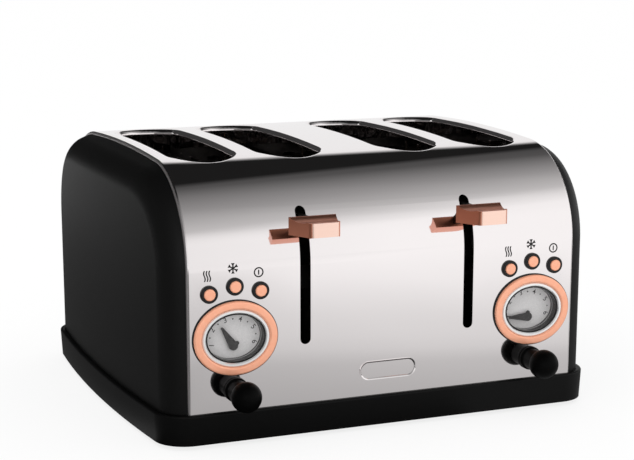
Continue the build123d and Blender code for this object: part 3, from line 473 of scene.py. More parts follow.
def let_go():
    """Deselect everything."""
    bpy.ops.object.select_all(action="DESELECT")


def take_up(piece):
    """Make one piece the only selected and the active one."""
    let_go()
    piece.select_set(True)
    bpy.context.view_layer.objects.active = piece


def fix_place(piece):
    """Write a piece's place, turn and scale into its mesh."""
    take_up(piece)
    bpy.ops.object.transform_apply(location=True, rotation=True, scale=True)


def finish_with(piece, kind, **settings):
    """Add a modifier with its settings and apply it."""
    take_up(piece)
    modifier = piece.modifiers.new(kind.lower(), kind)
    for name, value in settings.items():
        setattr(modifier, name, value)
    bpy.ops.object.modifier_apply(modifier=modifier.name)


def face_outward(piece):
    """Turn all faces of a piece the same way, outward on a closed one."""
    take_up(piece)
    bpy.ops.object.mode_set(mode="EDIT")
    bpy.ops.mesh.select_all(action="SELECT")
    bpy.ops.mesh.normals_make_consistent(inside=False)
    bpy.ops.object.mode_set(mode="OBJECT")


def join_all(pieces, name):
    """Join pieces into the first one and name it."""
    take_up(pieces[0])
    for piece in pieces:
        piece.select_set(True)
    bpy.ops.object.join()
    pieces[0].name = name
    return pieces[0]


def copy_to(piece, name, shift):
    """Copy a piece with its own mesh and write the shift into that mesh."""
    twin = piece.copy()
    twin.data = piece.data.copy()
    twin.name = name
    twin.data.transform(Matrix.Translation(shift))
    bpy.context.collection.objects.link(twin)
    return twin


def fit(piece, finish):
    """Dress a new piece and let it ride on the toaster's body."""
    dress(piece, finish)
    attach(piece, BODY)


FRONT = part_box("steel_wrap")[0][1]
print("front of the steel", round(FRONT / MM, 2), "mm")

# %% [markdown]
# ## Marks above the buttons
# Over each row of buttons the steel carries three printed marks that every kitchen knows: waves of heat for
# reheat, a snowflake for frozen bread, and a bar in a ring for stop. Printing is a film of ink, so each mark
# is a flat shape with a little thickness, most of it sunk in the sheet, because the sheet starts to curve
# away there. Each is modelled once, at the origin, facing the front.

# %% Heat waves
INK_PROUD = 0.06 * MM
INK_SUNK = 0.30 * MM
INK_LINE = 0.88 * MM
WAVE_HEIGHT = 7.2 * MM
WAVE_SWING = 0.5 * MM
WAVE_PITCH = 1.8 * MM
WAVE_COUNT = 3
WAVE_ROWS = 24


def thicken_ink(mark):
    """Give a flat mark at y = 0 its thickness, proud and sunk, and turn its faces outward."""
    face_outward(mark)
    finish_with(mark, "SOLIDIFY", thickness=INK_PROUD + INK_SUNK, offset=0)
    mark.data.transform(Matrix.Translation((0, (INK_SUNK - INK_PROUD) / 2, 0)))
    face_outward(mark)


let_go()
bpy.ops.mesh.primitive_grid_add(x_subdivisions=1, y_subdivisions=WAVE_ROWS, size=1, rotation=STANDING)
waves = bpy.context.object
waves.name = "heat_waves"
waves.scale = (INK_LINE, WAVE_HEIGHT, 1)
fix_place(waves)
for corner in waves.data.vertices:
    corner.co.x -= WAVE_SWING * math.sin(2 * math.pi * corner.co.z / WAVE_HEIGHT)
finish_with(waves, "ARRAY", count=WAVE_COUNT, use_relative_offset=False, use_constant_offset=True,
            constant_offset_displace=(WAVE_PITCH, 0, 0))
waves.data.transform(Matrix.Translation((-WAVE_PITCH, 0, 0)))
thicken_ink(waves)
print("waves", len(waves.data.polygons), "faces")

# %% Snowflake
FLAKE_ARMS = 6
FLAKE_CORE = 0.9 * MM
FLAKE_ARM = 1.35 * MM
FLAKE_TIP = 1.3 * MM
FLAKE_SPREAD = 2.7
PICK_RADIUS = 0.05 * MM


def upright_disc(sides, radius, roll=0.0, place=(0, 0, 0)):
    """A flat disc that faces the front, rolled by an angle."""
    let_go()
    bpy.ops.mesh.primitive_circle_add(vertices=sides, radius=radius, fill_type="NGON", location=place,
                                      rotation=(math.radians(90), roll, 0))
    disc = bpy.context.object
    fix_place(disc)
    return disc


half_arm = math.radians(180 / FLAKE_ARMS)
flake = upright_disc(FLAKE_ARMS, FLAKE_CORE, half_arm)
flake.name = "snowflake"
side_reach = FLAKE_CORE * math.cos(half_arm)
bpy.context.tool_settings.mesh_select_mode = (False, True, False)
for arm in range(FLAKE_ARMS):
    angle = math.radians(90) + 2 * half_arm * arm
    outward = Vector((math.cos(angle), 0, math.sin(angle)))
    bpy.ops.object.mode_set(mode="EDIT")
    bpy.ops.mesh.select_all(action="DESELECT")
    bpy.ops.object.mode_set(mode="OBJECT")
    for edge in flake.data.edges:
        ends = [flake.data.vertices[corner].co for corner in edge.vertices]
        edge.select = ((ends[0] + ends[1]) / 2 - outward * side_reach).length < PICK_RADIUS
    bpy.ops.object.mode_set(mode="EDIT")
    bpy.ops.mesh.extrude_edges_move(TRANSFORM_OT_translate={"value": outward * FLAKE_ARM})
    bpy.ops.mesh.extrude_edges_move(TRANSFORM_OT_translate={"value": outward * FLAKE_TIP})
    bpy.ops.transform.resize(value=(FLAKE_SPREAD,) * 3,
                             center_override=outward * (side_reach + FLAKE_ARM + FLAKE_TIP))
    bpy.ops.object.mode_set(mode="OBJECT")
thicken_ink(flake)
print("flake", [round(size / MM, 2) for size in flake.dimensions], "mm")

# %% Bar in a ring
RING_SIDES = 48
RING_RADIUS = 3.4 * MM
BAR_SIDES = 18
BAR_HALF_WIDTH = 0.45 * MM
BAR_STRETCH = 1.3 * MM


def open_middle(disc, width):
    """Take the middle out of a disc, so that a ring of this width is left."""
    take_up(disc)
    bpy.ops.object.mode_set(mode="EDIT")
    bpy.ops.mesh.select_mode(type="FACE")
    bpy.ops.mesh.select_all(action="SELECT")
    bpy.ops.mesh.inset(thickness=width)
    bpy.ops.mesh.delete(type="FACE")
    bpy.ops.object.mode_set(mode="OBJECT")


stop_mark = upright_disc(RING_SIDES, RING_RADIUS)
open_middle(stop_mark, INK_LINE)
bar = upright_disc(BAR_SIDES, BAR_HALF_WIDTH, math.radians(180 / BAR_SIDES))
for corner in bar.data.vertices:
    corner.co.z += math.copysign(BAR_STRETCH, corner.co.z)
stop_mark = join_all([stop_mark, bar], "ring_and_bar")
thicken_ink(stop_mark)
print("ring", len(stop_mark.data.polygons), "faces")

# %% Print the marks over both rows of buttons
MARK_RISE = 12.1 * MM
MARK_SHIFT = -1.1 * MM
MARKS = {"reheat": waves, "defrost": flake, "cancel": stop_mark}

for side in SIDES:
    for button, mark in MARKS.items():
        low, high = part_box(f"{button}_button_{side}")
        spot = ((low[0] + high[0]) / 2 + MARK_SHIFT, FRONT, (low[2] + high[2]) / 2 + MARK_RISE)
        fit(copy_to(mark, f"{button}_mark_{side}", spot), INK)
        print(button, side, [round(value / MM, 1) for value in spot])
for mark in MARKS.values():
    bpy.data.objects.remove(mark)

# %% [markdown]
# ## Numbers on the dials
# The needle sweeps over the numbers 1 to 6, printed round the upper edge of the oval face with their heads
# outward and a dot between each two. Each number stands where a line from the needle's pivot meets an oval
# a little inside the face. Text is a curve, so it is made a mesh before its place is written into it.

# %% Dial numbers
NUMBERS = 6
NUMBER_HEIGHT = 3.5 * MM
NUMBER_WEIGHT = 0.03 * MM
PRINT_SHIFT = Vector((0.5 * MM, 0, -0.7 * MM))
TEXT_SIZE_OF_HEIGHT = 1.42
DOT_SIDES = 12
DOT_RADIUS = 0.5 * MM
FIRST_ANGLE = 173.5
ANGLE_STEP = 33.4
PRINT_HALF_WIDTH = 16.0 * MM
PRINT_HALF_HEIGHT = 12.0 * MM
PIVOT_DROP = 6.3 * MM
FILM = 0.04 * MM

face_low, face_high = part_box("dial_face_left")
face_middle = Vector(((face_low[0] + face_high[0]) / 2, face_low[1], (face_low[2] + face_high[2]) / 2))


def on_print_oval(degrees):
    """Where a line from the pivot at this angle meets the oval of the print."""
    across = math.cos(math.radians(degrees)) / PRINT_HALF_WIDTH
    up = math.sin(math.radians(degrees)) / PRINT_HALF_HEIGHT
    drop = -PIVOT_DROP / PRINT_HALF_HEIGHT
    square, twice, rest = across ** 2 + up ** 2, 2 * up * drop, drop ** 2 - 1
    reach = (-twice + math.sqrt(twice ** 2 - 4 * square * rest)) / (2 * square)
    from_middle = (reach * across * PRINT_HALF_WIDTH, 0, reach * up * PRINT_HALF_HEIGHT - PIVOT_DROP)
    return face_middle + PRINT_SHIFT + Vector(from_middle)


prints = []
for number in range(NUMBERS):
    angle = FIRST_ANGLE - ANGLE_STEP * number
    let_go()
    bpy.ops.object.text_add(location=on_print_oval(angle),
                            rotation=(math.radians(90), -math.radians(angle - 90), 0))
    figure = bpy.context.object
    figure.data.body = str(number + 1)
    figure.data.size = NUMBER_HEIGHT * TEXT_SIZE_OF_HEIGHT
    figure.data.align_x = "CENTER"
    figure.data.align_y = "CENTER"
    figure.data.extrude = FILM
    figure.data.offset = NUMBER_WEIGHT
    bpy.ops.object.convert(target="MESH")
    fix_place(figure)
    prints.append(figure)
for gap in range(NUMBERS - 1):
    dot = upright_disc(DOT_SIDES, DOT_RADIUS, place=on_print_oval(FIRST_ANGLE - ANGLE_STEP * (gap + 0.5)))
    finish_with(dot, "SOLIDIFY", thickness=2 * FILM, offset=0)
    prints.append(dot)
numbers_left = join_all(prints, "dial_numbers_left")
to_right_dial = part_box("dial_face_right")[0][0] - face_low[0]
numbers_right = copy_to(numbers_left, "dial_numbers_right", (to_right_dial, 0, 0))
for numbers in (numbers_left, numbers_right):
    fit(numbers, FINISHES["needle_grey"])
print("numbers", len(numbers_left.data.polygons), "faces each side")

# %% [markdown]
# ## Seals under the bezels
# A thin black seal runs round each bezel where it meets the sheet, and from the side it draws the bezel's
# dark outline. A disc is scaled to the bezel's oval, its middle is taken out by an inset, and the ring is
# thickened.

# %% Bezel seals
SEAL_SIDES = 128
SEAL_GAP = 0.02 * MM
SEAL_WIDTH = 0.6 * MM
SEAL_PROUD = 1.2 * MM
SEAL_SUNK = 0.2 * MM
SEAL_BEVEL = 0.2 * MM
SEAL_BEVEL_STEPS = 2
SEAL_SMOOTH = math.radians(40)

for side in SIDES:
    low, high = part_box(f"dial_bezel_{side}")
    reach = SEAL_GAP + SEAL_WIDTH
    seal = upright_disc(SEAL_SIDES, 1)
    seal.name = f"bezel_seal_{side}"
    seal.scale = ((high[0] - low[0]) / 2 + reach, 1, (high[2] - low[2]) / 2 + reach)
    seal.location = ((low[0] + high[0]) / 2, FRONT + (SEAL_SUNK - SEAL_PROUD) / 2, (low[2] + high[2]) / 2)
    fix_place(seal)
    open_middle(seal, SEAL_WIDTH)
    finish_with(seal, "SOLIDIFY", thickness=SEAL_PROUD + SEAL_SUNK, offset=0)
    finish_with(seal, "BEVEL", width=SEAL_BEVEL, segments=SEAL_BEVEL_STEPS, limit_method="ANGLE")
    face_outward(seal)
    bpy.ops.object.shade_smooth_by_angle(angle=SEAL_SMOOTH)
    fit(seal, FINISHES["foot_rubber"])
    print("seal", side, [round(size / MM, 2) for size in seal.dimensions], "mm")

# %% [markdown]
# ## The badge dish
# Low in the middle sits a shallow dish with round ends, polished like the sheet and left bare. Its slope
# draws the line that one sees: the upper and right-hand sides face the dark floor close by, the lower and
# left-hand ones the light. A disc is pulled apart into the long shape and extruded off the sheet, and its
# front is inset and pushed back twice, first a little and then steeply, which leaves a rounded rim about a
# flat field.

# %% Badge dish
BADGE_SIDES = 96
BADGE_LENGTH = 41.6 * MM
BADGE_HEIGHT = 12.8 * MM
BADGE_Z = 41.5 * MM
BADGE_SUNK = 0.3 * MM
BADGE_PROUD = 0.85 * MM
BADGE_STEPS = ((0.6 * MM, 0.25 * MM), (0.5 * MM, 0.55 * MM))
BADGE_SMOOTH = math.radians(30)

badge = upright_disc(BADGE_SIDES, BADGE_HEIGHT / 2, math.radians(180 / BADGE_SIDES),
                     (0, FRONT + BADGE_SUNK, BADGE_Z))
badge.name = "badge_dish"
for corner in badge.data.vertices:
    corner.co.x += math.copysign((BADGE_LENGTH - BADGE_HEIGHT) / 2, corner.co.x)
bpy.ops.object.mode_set(mode="EDIT")
bpy.ops.mesh.select_mode(type="FACE")
bpy.ops.mesh.select_all(action="SELECT")
bpy.ops.mesh.extrude_region_move(TRANSFORM_OT_translate={"value": (0, -BADGE_SUNK - BADGE_PROUD, 0)})
for width, drop in BADGE_STEPS:
    bpy.ops.mesh.inset(thickness=width)
    bpy.ops.transform.translate(value=(0, drop, 0))
bpy.ops.object.mode_set(mode="OBJECT")
face_outward(badge)
bpy.ops.object.shade_smooth_by_angle(angle=BADGE_SMOOTH)
fit(badge, FINISHES["polished_steel"])
print("badge", [round(size / MM, 2) for size in badge.dimensions], "mm")

# %% [markdown]
# ## Heating ribbon
# Flat resistance ribbon is wound round each mica board and glows between the bread and the wall. Looking
# down into a slot one sees its edges. One winding is a cube with its top and bottom taken off, which leaves
# a flat band. Solidify gives the ribbon its thickness, and Array repeats it up the board. That is done once,
# and each of the six boards gets a copy.

# %% Heating ribbon
RIBBON_WIDTH = 1.7 * MM
RIBBON_WALL = 0.2 * MM
RIBBON_OFF = 0.05 * MM
RIBBON_INSET = 9.0 * MM
RIBBON_TURNS = 11
RIBBON_PITCH = 11.0 * MM
BOARD_WALL = 1.2 * MM
UP_OR_DOWN = 0.5

board_low, board_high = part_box("heater_boards_left")
board_spots = {"outer": board_low[0] + BOARD_WALL / 2, "middle": (board_low[0] + board_high[0]) / 2,
               "inner": board_high[0] - BOARD_WALL / 2}
run_length = board_high[1] - board_low[1] - 2 * RIBBON_INSET
lowest_turn = (board_low[2] + board_high[2] - (RIBBON_TURNS - 1) * RIBBON_PITCH) / 2

let_go()
bpy.ops.mesh.primitive_cube_add(size=1, location=(0, (board_low[1] + board_high[1]) / 2, lowest_turn))
ribbon = bpy.context.object
ribbon.scale = (BOARD_WALL + 2 * RIBBON_OFF, run_length, RIBBON_WIDTH)
fix_place(ribbon)
for face in ribbon.data.polygons:
    face.select = abs(face.normal.z) > UP_OR_DOWN
bpy.ops.object.mode_set(mode="EDIT")
bpy.ops.mesh.delete(type="FACE")
bpy.ops.object.mode_set(mode="OBJECT")
face_outward(ribbon)
finish_with(ribbon, "SOLIDIFY", thickness=RIBBON_WALL, offset=1)
finish_with(ribbon, "ARRAY", count=RIBBON_TURNS, use_relative_offset=False, use_constant_offset=True,
            constant_offset_displace=(0, 0, RIBBON_PITCH))
for spot, across in board_spots.items():
    for side, hand in (("left", 1), ("right", -1)):
        copy = copy_to(ribbon, f"heater_ribbon_{spot}_{side}", (hand * across, 0, 0))
        fit(copy, FINISHES["wire_steel"])
bpy.data.objects.remove(ribbon)
print("ribbon boards at", [round(across / MM, 1) for across in board_spots.values()])

# %% [markdown]
# ## Return springs
# A coil spring on each guide rod lifts the carriage when the latch lets go. The solid model holds its room
# as a tube; here it is the real coil. A small circle beside the axis is swept by a Screw modifier, and its
# two ends are closed.

# %% Return springs
WIRE_RADIUS = 0.5 * MM
WIRE_SIDES = 8
COIL_SMOOTH = math.radians(50)
SEAM_GAP = 0.001 * MM
COIL_TURNS = 22
COIL_STEPS = 20

for side in SIDES:
    node_name = f"return_spring_{side}"
    low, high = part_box(node_name)
    coil_radius = (high[0] - low[0]) / 2 - WIRE_RADIUS
    rise = high[2] - low[2] - 2 * WIRE_RADIUS
    let_go()
    bpy.ops.mesh.primitive_circle_add(vertices=WIRE_SIDES, radius=WIRE_RADIUS, location=(coil_radius, 0, 0),
                                      rotation=STANDING)
    coil = bpy.context.object
    coil.name = f"coil_spring_{side}"
    fix_place(coil)
    finish_with(coil, "SCREW", axis="Z", angle=2 * math.pi, iterations=COIL_TURNS, steps=COIL_STEPS,
                render_steps=COIL_STEPS, screw_offset=rise / COIL_TURNS, use_merge_vertices=False)
    bpy.ops.object.mode_set(mode="EDIT")
    bpy.ops.mesh.select_mode(type="EDGE")
    bpy.ops.mesh.select_all(action="SELECT")
    bpy.ops.mesh.remove_doubles(threshold=SEAM_GAP)
    bpy.ops.mesh.select_all(action="DESELECT")
    bpy.ops.mesh.select_non_manifold()
    bpy.ops.mesh.edge_face_add()
    bpy.ops.object.mode_set(mode="OBJECT")
    face_outward(coil)
    bpy.ops.object.shade_smooth_by_angle(angle=COIL_SMOOTH)
    middle = ((low[0] + high[0]) / 2, (low[1] + high[1]) / 2, low[2] + WIRE_RADIUS)
    coil.data.transform(Matrix.Translation(middle))
    fit(coil, FINISHES["wire_steel"])
    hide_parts(node_name)
    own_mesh(coil)

# %% [markdown]
# ## The camera
# The photograph was taken from the left and a little above with a long lens. Its optical axis lies below
# the middle of the frame, which the camera's shift repeats.

# %% Camera
PHOTO_WIDTH = 634
AXIS_BELOW_MIDDLE = 75.3
FOCAL_PIXELS = 1693.5
SENSOR = 36.0
CAMERA_PLACE = (-0.4678, -1.1564, 0.3407)
CAMERA_AIM = Vector((-0.0519, -0.143, 0.0901))

let_go()
bpy.ops.object.camera_add(location=CAMERA_PLACE)
camera = bpy.context.object
camera.rotation_euler = (CAMERA_AIM - camera.location).to_track_quat("-Z", "Y").to_euler()
camera.data.sensor_width = SENSOR
camera.data.lens = FOCAL_PIXELS / PHOTO_WIDTH * SENSOR
camera.data.shift_y = AXIS_BELOW_MIDDLE / PHOTO_WIDTH
bpy.context.scene.camera = camera
print("lens", round(camera.data.lens, 2), "shift", round(camera.data.shift_y, 4))

# %% [markdown]
# ## White room and floor
# The room is an even white that lights the toaster from all round. The floor is white too. Most of what the
# camera and the metal see of it is plain white and the rest is its lit surface, so the background stays
# white and still carries the toaster's soft shadow.

# %% World and floor
world = bpy.data.worlds.new("white_studio")
bpy.context.scene.world = world
world.use_nodes = True
background = world.node_tree.nodes["Background"]
background.inputs["Color"].default_value = linear("#FFFFFF")
background.inputs["Strength"].default_value = 1.0
bpy.context.scene.view_settings.view_transform = "Standard"

FLOOR_SIZE = 60.0
PAPER_PULP = 2 * MM
PAPER_TINT = [(0.3, "#FDFDFD"), (0.7, "#FEFEFE")]
PLAIN_WHITE_SHARE = 0.82


def white_sweep():
    """Matte white paper with a share of plain white for the eye, for metal and for glass."""
    material, tree = blank_finish("white_sweep")
    place = add_node(tree, "ShaderNodeTexCoord")
    pulp = add_node(tree, "ShaderNodeTexNoise", {"Vector": place.outputs["Object"], "Scale": 1 / PAPER_PULP})
    tint = add_node(tree, "ShaderNodeValToRGB", {"Fac": pulp.outputs["Fac"]})
    set_stops(tint, [(level, linear(colour)) for level, colour in PAPER_TINT])
    paper = add_node(tree, "ShaderNodeBsdfDiffuse", {"Color": tint.outputs["Color"]})
    plain = add_node(tree, "ShaderNodeEmission", {"Color": linear("#FFFFFF"), "Strength": 1.0})
    ray = add_node(tree, "ShaderNodeLightPath")
    seen = add_node(tree, "ShaderNodeMath", {0: ray.outputs["Is Camera Ray"],
                                             1: ray.outputs["Is Glossy Ray"]}, operation="ADD")
    through = add_node(tree, "ShaderNodeMath", {0: seen.outputs[0], 1: ray.outputs["Is Transmission Ray"]},
                       operation="ADD", use_clamp=True)
    share = add_node(tree, "ShaderNodeMath", {0: through.outputs[0], 1: PLAIN_WHITE_SHARE},
                     operation="MULTIPLY")
    mixed = add_node(tree, "ShaderNodeMixShader", {0: share.outputs[0], 1: paper.outputs["BSDF"],
                                                   2: plain.outputs["Emission"]})
    add_node(tree, "ShaderNodeOutputMaterial", {"Surface": mixed.outputs["Shader"]})
    return material


let_go()
bpy.ops.mesh.primitive_plane_add(size=FLOOR_SIZE)
floor = bpy.context.object
floor.name = "floor"
dress(floor, white_sweep())
floor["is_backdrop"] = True
print("floor", FLOOR_SIZE, "m")

# %% [markdown]
# ## The overhead arch
# Polished steel draws the studio: on the front the white room, on the shoulder a grey sweep that deepens
# upward and ends in a black band, and on the top the bright back of the room. An arch over the toaster
# carries all of it as one glow that changes with the angle, along slanted edges. It is shown to shiny
# surfaces only, so it neither lights the toaster nor appears in the picture.

# %% Overhead arch
ARCH_RADIUS = 3.0
ARCH_LENGTH = 16.0
ARCH_FROM = 0.0
ARCH_TO = 178.0
ARCH_SIDES = 180
ROOM_EDGE = {"From Min": 20.0, "From Max": 36.0}
ROOM_GLOW = {"From Min": 0.5, "From Max": 1.3, "To Min": 0.84, "To Max": 1.0}
SLANT_LIMITS = (0.1, 0.8)
PANEL_SLANT = (-70.0, 33.0)
PANEL_STOPS = [(20, 1.0), (34, 0.96), (43, 0.80), (53, 0.55), (76, 0.315), (104, 0.085), (113, 0.07)]
BAND_SLANT = (-95.0, 43.0)
BAND_EDGE = {"From Min": 109.0, "From Max": 115.5}
BAND_GLOW = 0.012
BACK_EDGE = {"From Min": 137.0, "From Max": 149.0}
BACK_GLOW = 0.88
HALF_TURN = 180.0


def grey(level):
    """RGBA of a grey light."""
    return (level, level, level, 1.0)


def reflection_only(card):
    """Show a card to shiny surfaces and hide it from the camera and the light."""
    card.visible_camera = False
    card.visible_diffuse = False
    card.visible_shadow = False
    card.visible_transmission = False
    card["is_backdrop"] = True


def panel_glow():
    """Glow that fades with the angle over the toaster, goes dark, and is bright again at the back."""
    material, tree = blank_finish("graded_panel")
    place = add_node(tree, "ShaderNodeTexCoord")
    axes = add_node(tree, "ShaderNodeSeparateXYZ", {"Vector": place.outputs["Object"]})
    front = add_node(tree, "ShaderNodeMath", {0: axes.outputs["Y"], 1: -1.0}, operation="MULTIPLY")
    over = add_node(tree, "ShaderNodeMath", {0: axes.outputs["Z"], 1: front.outputs[0]}, operation="ARCTAN2")
    angle = add_node(tree, "ShaderNodeMath", {0: over.outputs[0]}, operation="DEGREES")
    across = add_node(tree, "ShaderNodeMath", {0: axes.outputs["X"], 1: ARCH_RADIUS}, operation="DIVIDE")
    held = add_node(tree, "ShaderNodeClamp", {"Value": across.outputs[0], "Min": SLANT_LIMITS[0],
                                              "Max": SLANT_LIMITS[1]})
    slant = add_node(tree, "ShaderNodeMath", {0: held.outputs[0], 1: PANEL_SLANT[0], 2: PANEL_SLANT[1]},
                     operation="MULTIPLY_ADD")
    level = add_node(tree, "ShaderNodeMath", {0: angle.outputs[0], 1: slant.outputs[0]}, operation="ADD")
    share = add_node(tree, "ShaderNodeMath", {0: level.outputs[0], 1: HALF_TURN}, operation="DIVIDE")
    ramp = add_node(tree, "ShaderNodeValToRGB", {"Fac": share.outputs[0]})
    set_stops(ramp, [(degrees / HALF_TURN, grey(light)) for degrees, light in PANEL_STOPS])
    panel = add_node(tree, "ShaderNodeEmission", {"Color": ramp.outputs["Color"]})
    steeper = add_node(tree, "ShaderNodeMath", {0: held.outputs[0], 1: BAND_SLANT[0], 2: BAND_SLANT[1]},
                       operation="MULTIPLY_ADD")
    beyond = add_node(tree, "ShaderNodeMath", {0: angle.outputs[0], 1: steeper.outputs[0]}, operation="ADD")
    edge = add_node(tree, "ShaderNodeMapRange", {"Value": beyond.outputs[0], **BAND_EDGE})
    band = add_node(tree, "ShaderNodeEmission", {"Color": grey(BAND_GLOW)})
    upper = add_node(tree, "ShaderNodeMixShader", {0: edge.outputs["Result"], 1: panel.outputs["Emission"],
                                                   2: band.outputs["Emission"]})
    dim = add_node(tree, "ShaderNodeMapRange", {"Value": axes.outputs["X"], **ROOM_GLOW})
    room = add_node(tree, "ShaderNodeEmission", {"Strength": dim.outputs["Result"]})
    fade = add_node(tree, "ShaderNodeMapRange", {"Value": angle.outputs[0], **ROOM_EDGE})
    mixed = add_node(tree, "ShaderNodeMixShader", {0: fade.outputs["Result"], 1: room.outputs["Emission"],
                                                   2: upper.outputs["Shader"]})
    back = add_node(tree, "ShaderNodeEmission", {"Color": grey(BACK_GLOW)})
    past = add_node(tree, "ShaderNodeMapRange", {"Value": angle.outputs[0], **BACK_EDGE},
                    interpolation_type="SMOOTHSTEP")
    whole = add_node(tree, "ShaderNodeMixShader", {0: past.outputs["Result"], 1: mixed.outputs["Shader"],
                                                   2: back.outputs["Emission"]})
    add_node(tree, "ShaderNodeOutputMaterial", {"Surface": whole.outputs["Shader"]})
    return material


let_go()
bpy.ops.mesh.primitive_cylinder_add(vertices=ARCH_SIDES, radius=ARCH_RADIUS, depth=ARCH_LENGTH,
                                    end_fill_type="NOTHING", rotation=(0, math.radians(90), 0))
arch = bpy.context.object
arch.name = "overhead_arch"
fix_place(arch)
bpy.ops.object.mode_set(mode="EDIT")
bpy.ops.mesh.select_mode(type="FACE")
bpy.ops.mesh.select_all(action="DESELECT")
bpy.ops.object.mode_set(mode="OBJECT")
for face in arch.data.polygons:
    angle = math.degrees(math.atan2(face.center.z, -face.center.y))
    face.select = not ARCH_FROM < angle < ARCH_TO
bpy.ops.object.mode_set(mode="EDIT")
bpy.ops.mesh.delete(type="FACE")
bpy.ops.object.mode_set(mode="OBJECT")
dress(arch, panel_glow())
reflection_only(arch)
print("arch faces", len(arch.data.polygons))

# %% [markdown]
# ## The graded floor card
# The lower half of the steel shows the floor, and in the photograph that floor is darkest at the foot of the
# toaster and grows lighter with the distance, sooner on the right than on the left. It is dark all along the
# left, which is the shadow side, and half light behind the toaster. A card on the floor, again for shiny
# surfaces only, carries those shades: by the distance in front of the steel, and by the direction.

# %% Floor card
CARD_SIZE = 6.4
CARD_LIFT = 0.4 * MM
WHOLE_TURN = 360.0
FOOT_SHADE_END = {"From Min": 0.04, "From Max": 0.08, "To Max": 0.08}
SHADE_PULL = {"From Min": -0.06, "From Max": 0.25, "To Min": 0.65, "To Max": 1.08}
FRONT_STOPS = [(0.0, 0.02), (0.03, 0.06), (0.05, 0.48), (0.13, 0.56), (0.17, 0.68), (0.21, 0.73),
               (0.28, 0.77), (0.36, 0.84), (0.46, 0.93), (0.6, 0.99), (1.0, 1.0)]
SECTOR_VERTEX = (-0.18, -0.12)
SECTOR_STOPS = [(-180, 0.14), (-120, 0.15), (-65, 0.13), (-4, 0.13), (95, 0.2), (120, 0.5), (165, 0.5),
                (180, 0.14)]
FRONT_START = {"From Min": -4.0, "From Max": 8.0}
FRONT_END = {"From Min": 100.0, "From Max": 80.0}
DARK_TO_WHITE = {"From Min": 0.7, "From Max": 1.5}
LEFT_TO_RIGHT = {"From Min": -0.15, "From Max": 0.12, "To Min": 0.85, "To Max": 1.0}
FAR_LEFT_TO_RIGHT = {"From Min": 13.0, "From Max": 32.0, "To Min": 0.84, "To Max": 1.0}


def floor_glow():
    """Shades of the floor as the metal sees it."""
    material, tree = blank_finish("graded_floor")
    place = add_node(tree, "ShaderNodeTexCoord")
    axes = add_node(tree, "ShaderNodeSeparateXYZ", {"Vector": place.outputs["Object"]})
    before = add_node(tree, "ShaderNodeMath", {0: axes.outputs["Y"], 1: -1.0, 2: FRONT},
                      operation="MULTIPLY_ADD")
    clear = add_node(tree, "ShaderNodeMapRange", {"Value": axes.outputs["X"], **FOOT_SHADE_END})
    reached = add_node(tree, "ShaderNodeMath", {0: before.outputs[0], 1: clear.outputs["Result"]},
                       operation="MAXIMUM")
    pull = add_node(tree, "ShaderNodeMapRange", {"Value": axes.outputs["X"], **SHADE_PULL})
    pulled = add_node(tree, "ShaderNodeMath", {0: reached.outputs[0], 1: pull.outputs["Result"]},
                      operation="MULTIPLY")
    front = add_node(tree, "ShaderNodeValToRGB", {"Fac": pulled.outputs[0]})
    set_stops(front, [(distance, grey(light)) for distance, light in FRONT_STOPS])
    lean = add_node(tree, "ShaderNodeMapRange", {"Value": axes.outputs["X"], **LEFT_TO_RIGHT})
    aside = add_node(tree, "ShaderNodeMath", {0: axes.outputs["X"], 1: SECTOR_VERTEX[0]},
                     operation="SUBTRACT")
    forth = add_node(tree, "ShaderNodeMath", {0: SECTOR_VERTEX[1], 1: axes.outputs["Y"]},
                     operation="SUBTRACT")
    turn = add_node(tree, "ShaderNodeMath", {0: aside.outputs[0], 1: forth.outputs[0]}, operation="ARCTAN2")
    angle = add_node(tree, "ShaderNodeMath", {0: turn.outputs[0]}, operation="DEGREES")
    far_lean = add_node(tree, "ShaderNodeMapRange", {"Value": angle.outputs[0], **FAR_LEFT_TO_RIGHT})
    strength = add_node(tree, "ShaderNodeMath", {0: lean.outputs["Result"], 1: far_lean.outputs["Result"]},
                        operation="MULTIPLY")
    ahead = add_node(tree, "ShaderNodeEmission", {"Color": front.outputs["Color"],
                                                  "Strength": strength.outputs[0]})
    share = add_node(tree, "ShaderNodeMath", {0: angle.outputs[0], 1: 1 / WHOLE_TURN, 2: 0.5},
                     operation="MULTIPLY_ADD")
    sector = add_node(tree, "ShaderNodeValToRGB", {"Fac": share.outputs[0]})
    set_stops(sector, [(degrees / WHOLE_TURN + 0.5, grey(light)) for degrees, light in SECTOR_STOPS])
    around = add_node(tree, "ShaderNodeEmission", {"Color": sector.outputs["Color"]})
    far = add_node(tree, "ShaderNodeVectorMath", {0: place.outputs["Object"]}, operation="LENGTH")
    whiten = add_node(tree, "ShaderNodeMapRange", {"Value": far.outputs["Value"], **DARK_TO_WHITE})
    white = add_node(tree, "ShaderNodeEmission", {"Color": grey(1.0)})
    ring = add_node(tree, "ShaderNodeMixShader", {0: whiten.outputs["Result"], 1: around.outputs["Emission"],
                                                  2: white.outputs["Emission"]})
    enter = add_node(tree, "ShaderNodeMapRange", {"Value": angle.outputs[0], **FRONT_START})
    leave = add_node(tree, "ShaderNodeMapRange", {"Value": angle.outputs[0], **FRONT_END})
    within = add_node(tree, "ShaderNodeMath", {0: enter.outputs["Result"], 1: leave.outputs["Result"]},
                      operation="MULTIPLY")
    mixed = add_node(tree, "ShaderNodeMixShader", {0: within.outputs[0], 1: ring.outputs["Shader"],
                                                   2: ahead.outputs["Emission"]})
    add_node(tree, "ShaderNodeOutputMaterial", {"Surface": mixed.outputs["Shader"]})
    return material


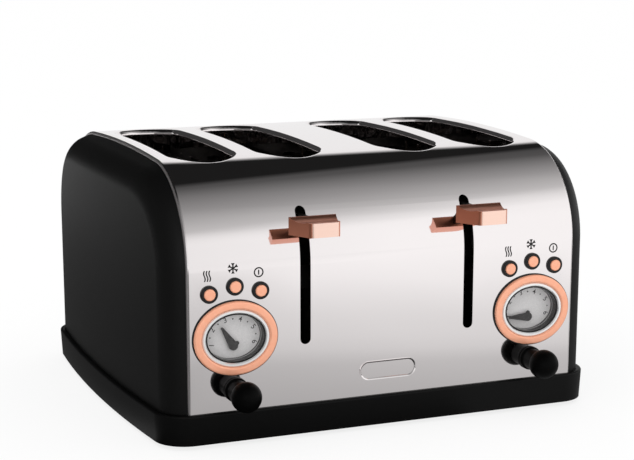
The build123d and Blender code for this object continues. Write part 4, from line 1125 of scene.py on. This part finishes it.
let_go()
bpy.ops.mesh.primitive_plane_add(size=CARD_SIZE, location=(0, 0, CARD_LIFT))
floor_card = bpy.context.object
floor_card.name = "floor_card"
fix_place(floor_card)
dress(floor_card, floor_glow())
reflection_only(floor_card)
print("floor card", CARD_SIZE, "m")

# %% [markdown]
# ## Dark cards
# Black plastic looks black only when it has something dark to show, and a card far behind on the left gives
# that to the end panel. Another, close by on the left, dims the sides of the levers.

# %% Dark cards
DARK_CARDS = {
    "back_card": {"middle": (-1.07, 2.2, 0.9), "size": (2.96, 1.8), "turn": 0.0, "glow": 0.04},
    "left_card": {"middle": (-0.8, -0.15, 0.35), "size": (1.3, 0.7), "turn": 90.0, "glow": 0.14},
}


def card_glow(name, light):
    """A dim even glow."""
    material, tree = blank_finish(name)
    glow = add_node(tree, "ShaderNodeEmission", {"Color": grey(light)})
    add_node(tree, "ShaderNodeOutputMaterial", {"Surface": glow.outputs["Emission"]})
    return material


for name, card in DARK_CARDS.items():
    let_go()
    bpy.ops.mesh.primitive_plane_add(size=1, location=card["middle"],
                                     rotation=(math.radians(90), 0, math.radians(card["turn"])))
    plane = bpy.context.object
    plane.name = name
    plane.scale = (card["size"][0], card["size"][1], 1)
    fix_place(plane)
    dress(plane, card_glow(name, card["glow"]))
    reflection_only(plane)
    print(name, card["size"], "m")

# %% [markdown]
# ## The key lamp
# A soft lamp from the upper left gives the matt parts a direction of light. Metal does not show it.

# %% Key lamp
KEY_PLACE = (-0.9, -1.3, 1.7)
KEY_AIM = Vector((0, 0, 0.1))
KEY_SIZE = (1.2, 0.8)
KEY_POWER = 5.0

let_go()
bpy.ops.object.light_add(type="AREA", location=KEY_PLACE)
key = bpy.context.object
key.name = "key_lamp"
key.data.shape = "RECTANGLE"
key.data.size, key.data.size_y = KEY_SIZE
key.data.energy = KEY_POWER
key.rotation_euler = (KEY_AIM - key.location).to_track_quat("-Z", "Y").to_euler()
key.visible_glossy = False
print("key lamp", key.data.energy, "W")

# %% [markdown]
# ## Sizes and the end
# The box of the dressed toaster, without the backdrop, is printed. The dressed toaster has to
# stay within the box of its solids.

# %% Sizes and the end
low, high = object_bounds()
print("box", [round((top - bottom) / MM, 1) for bottom, top in zip(low, high)], "mm")
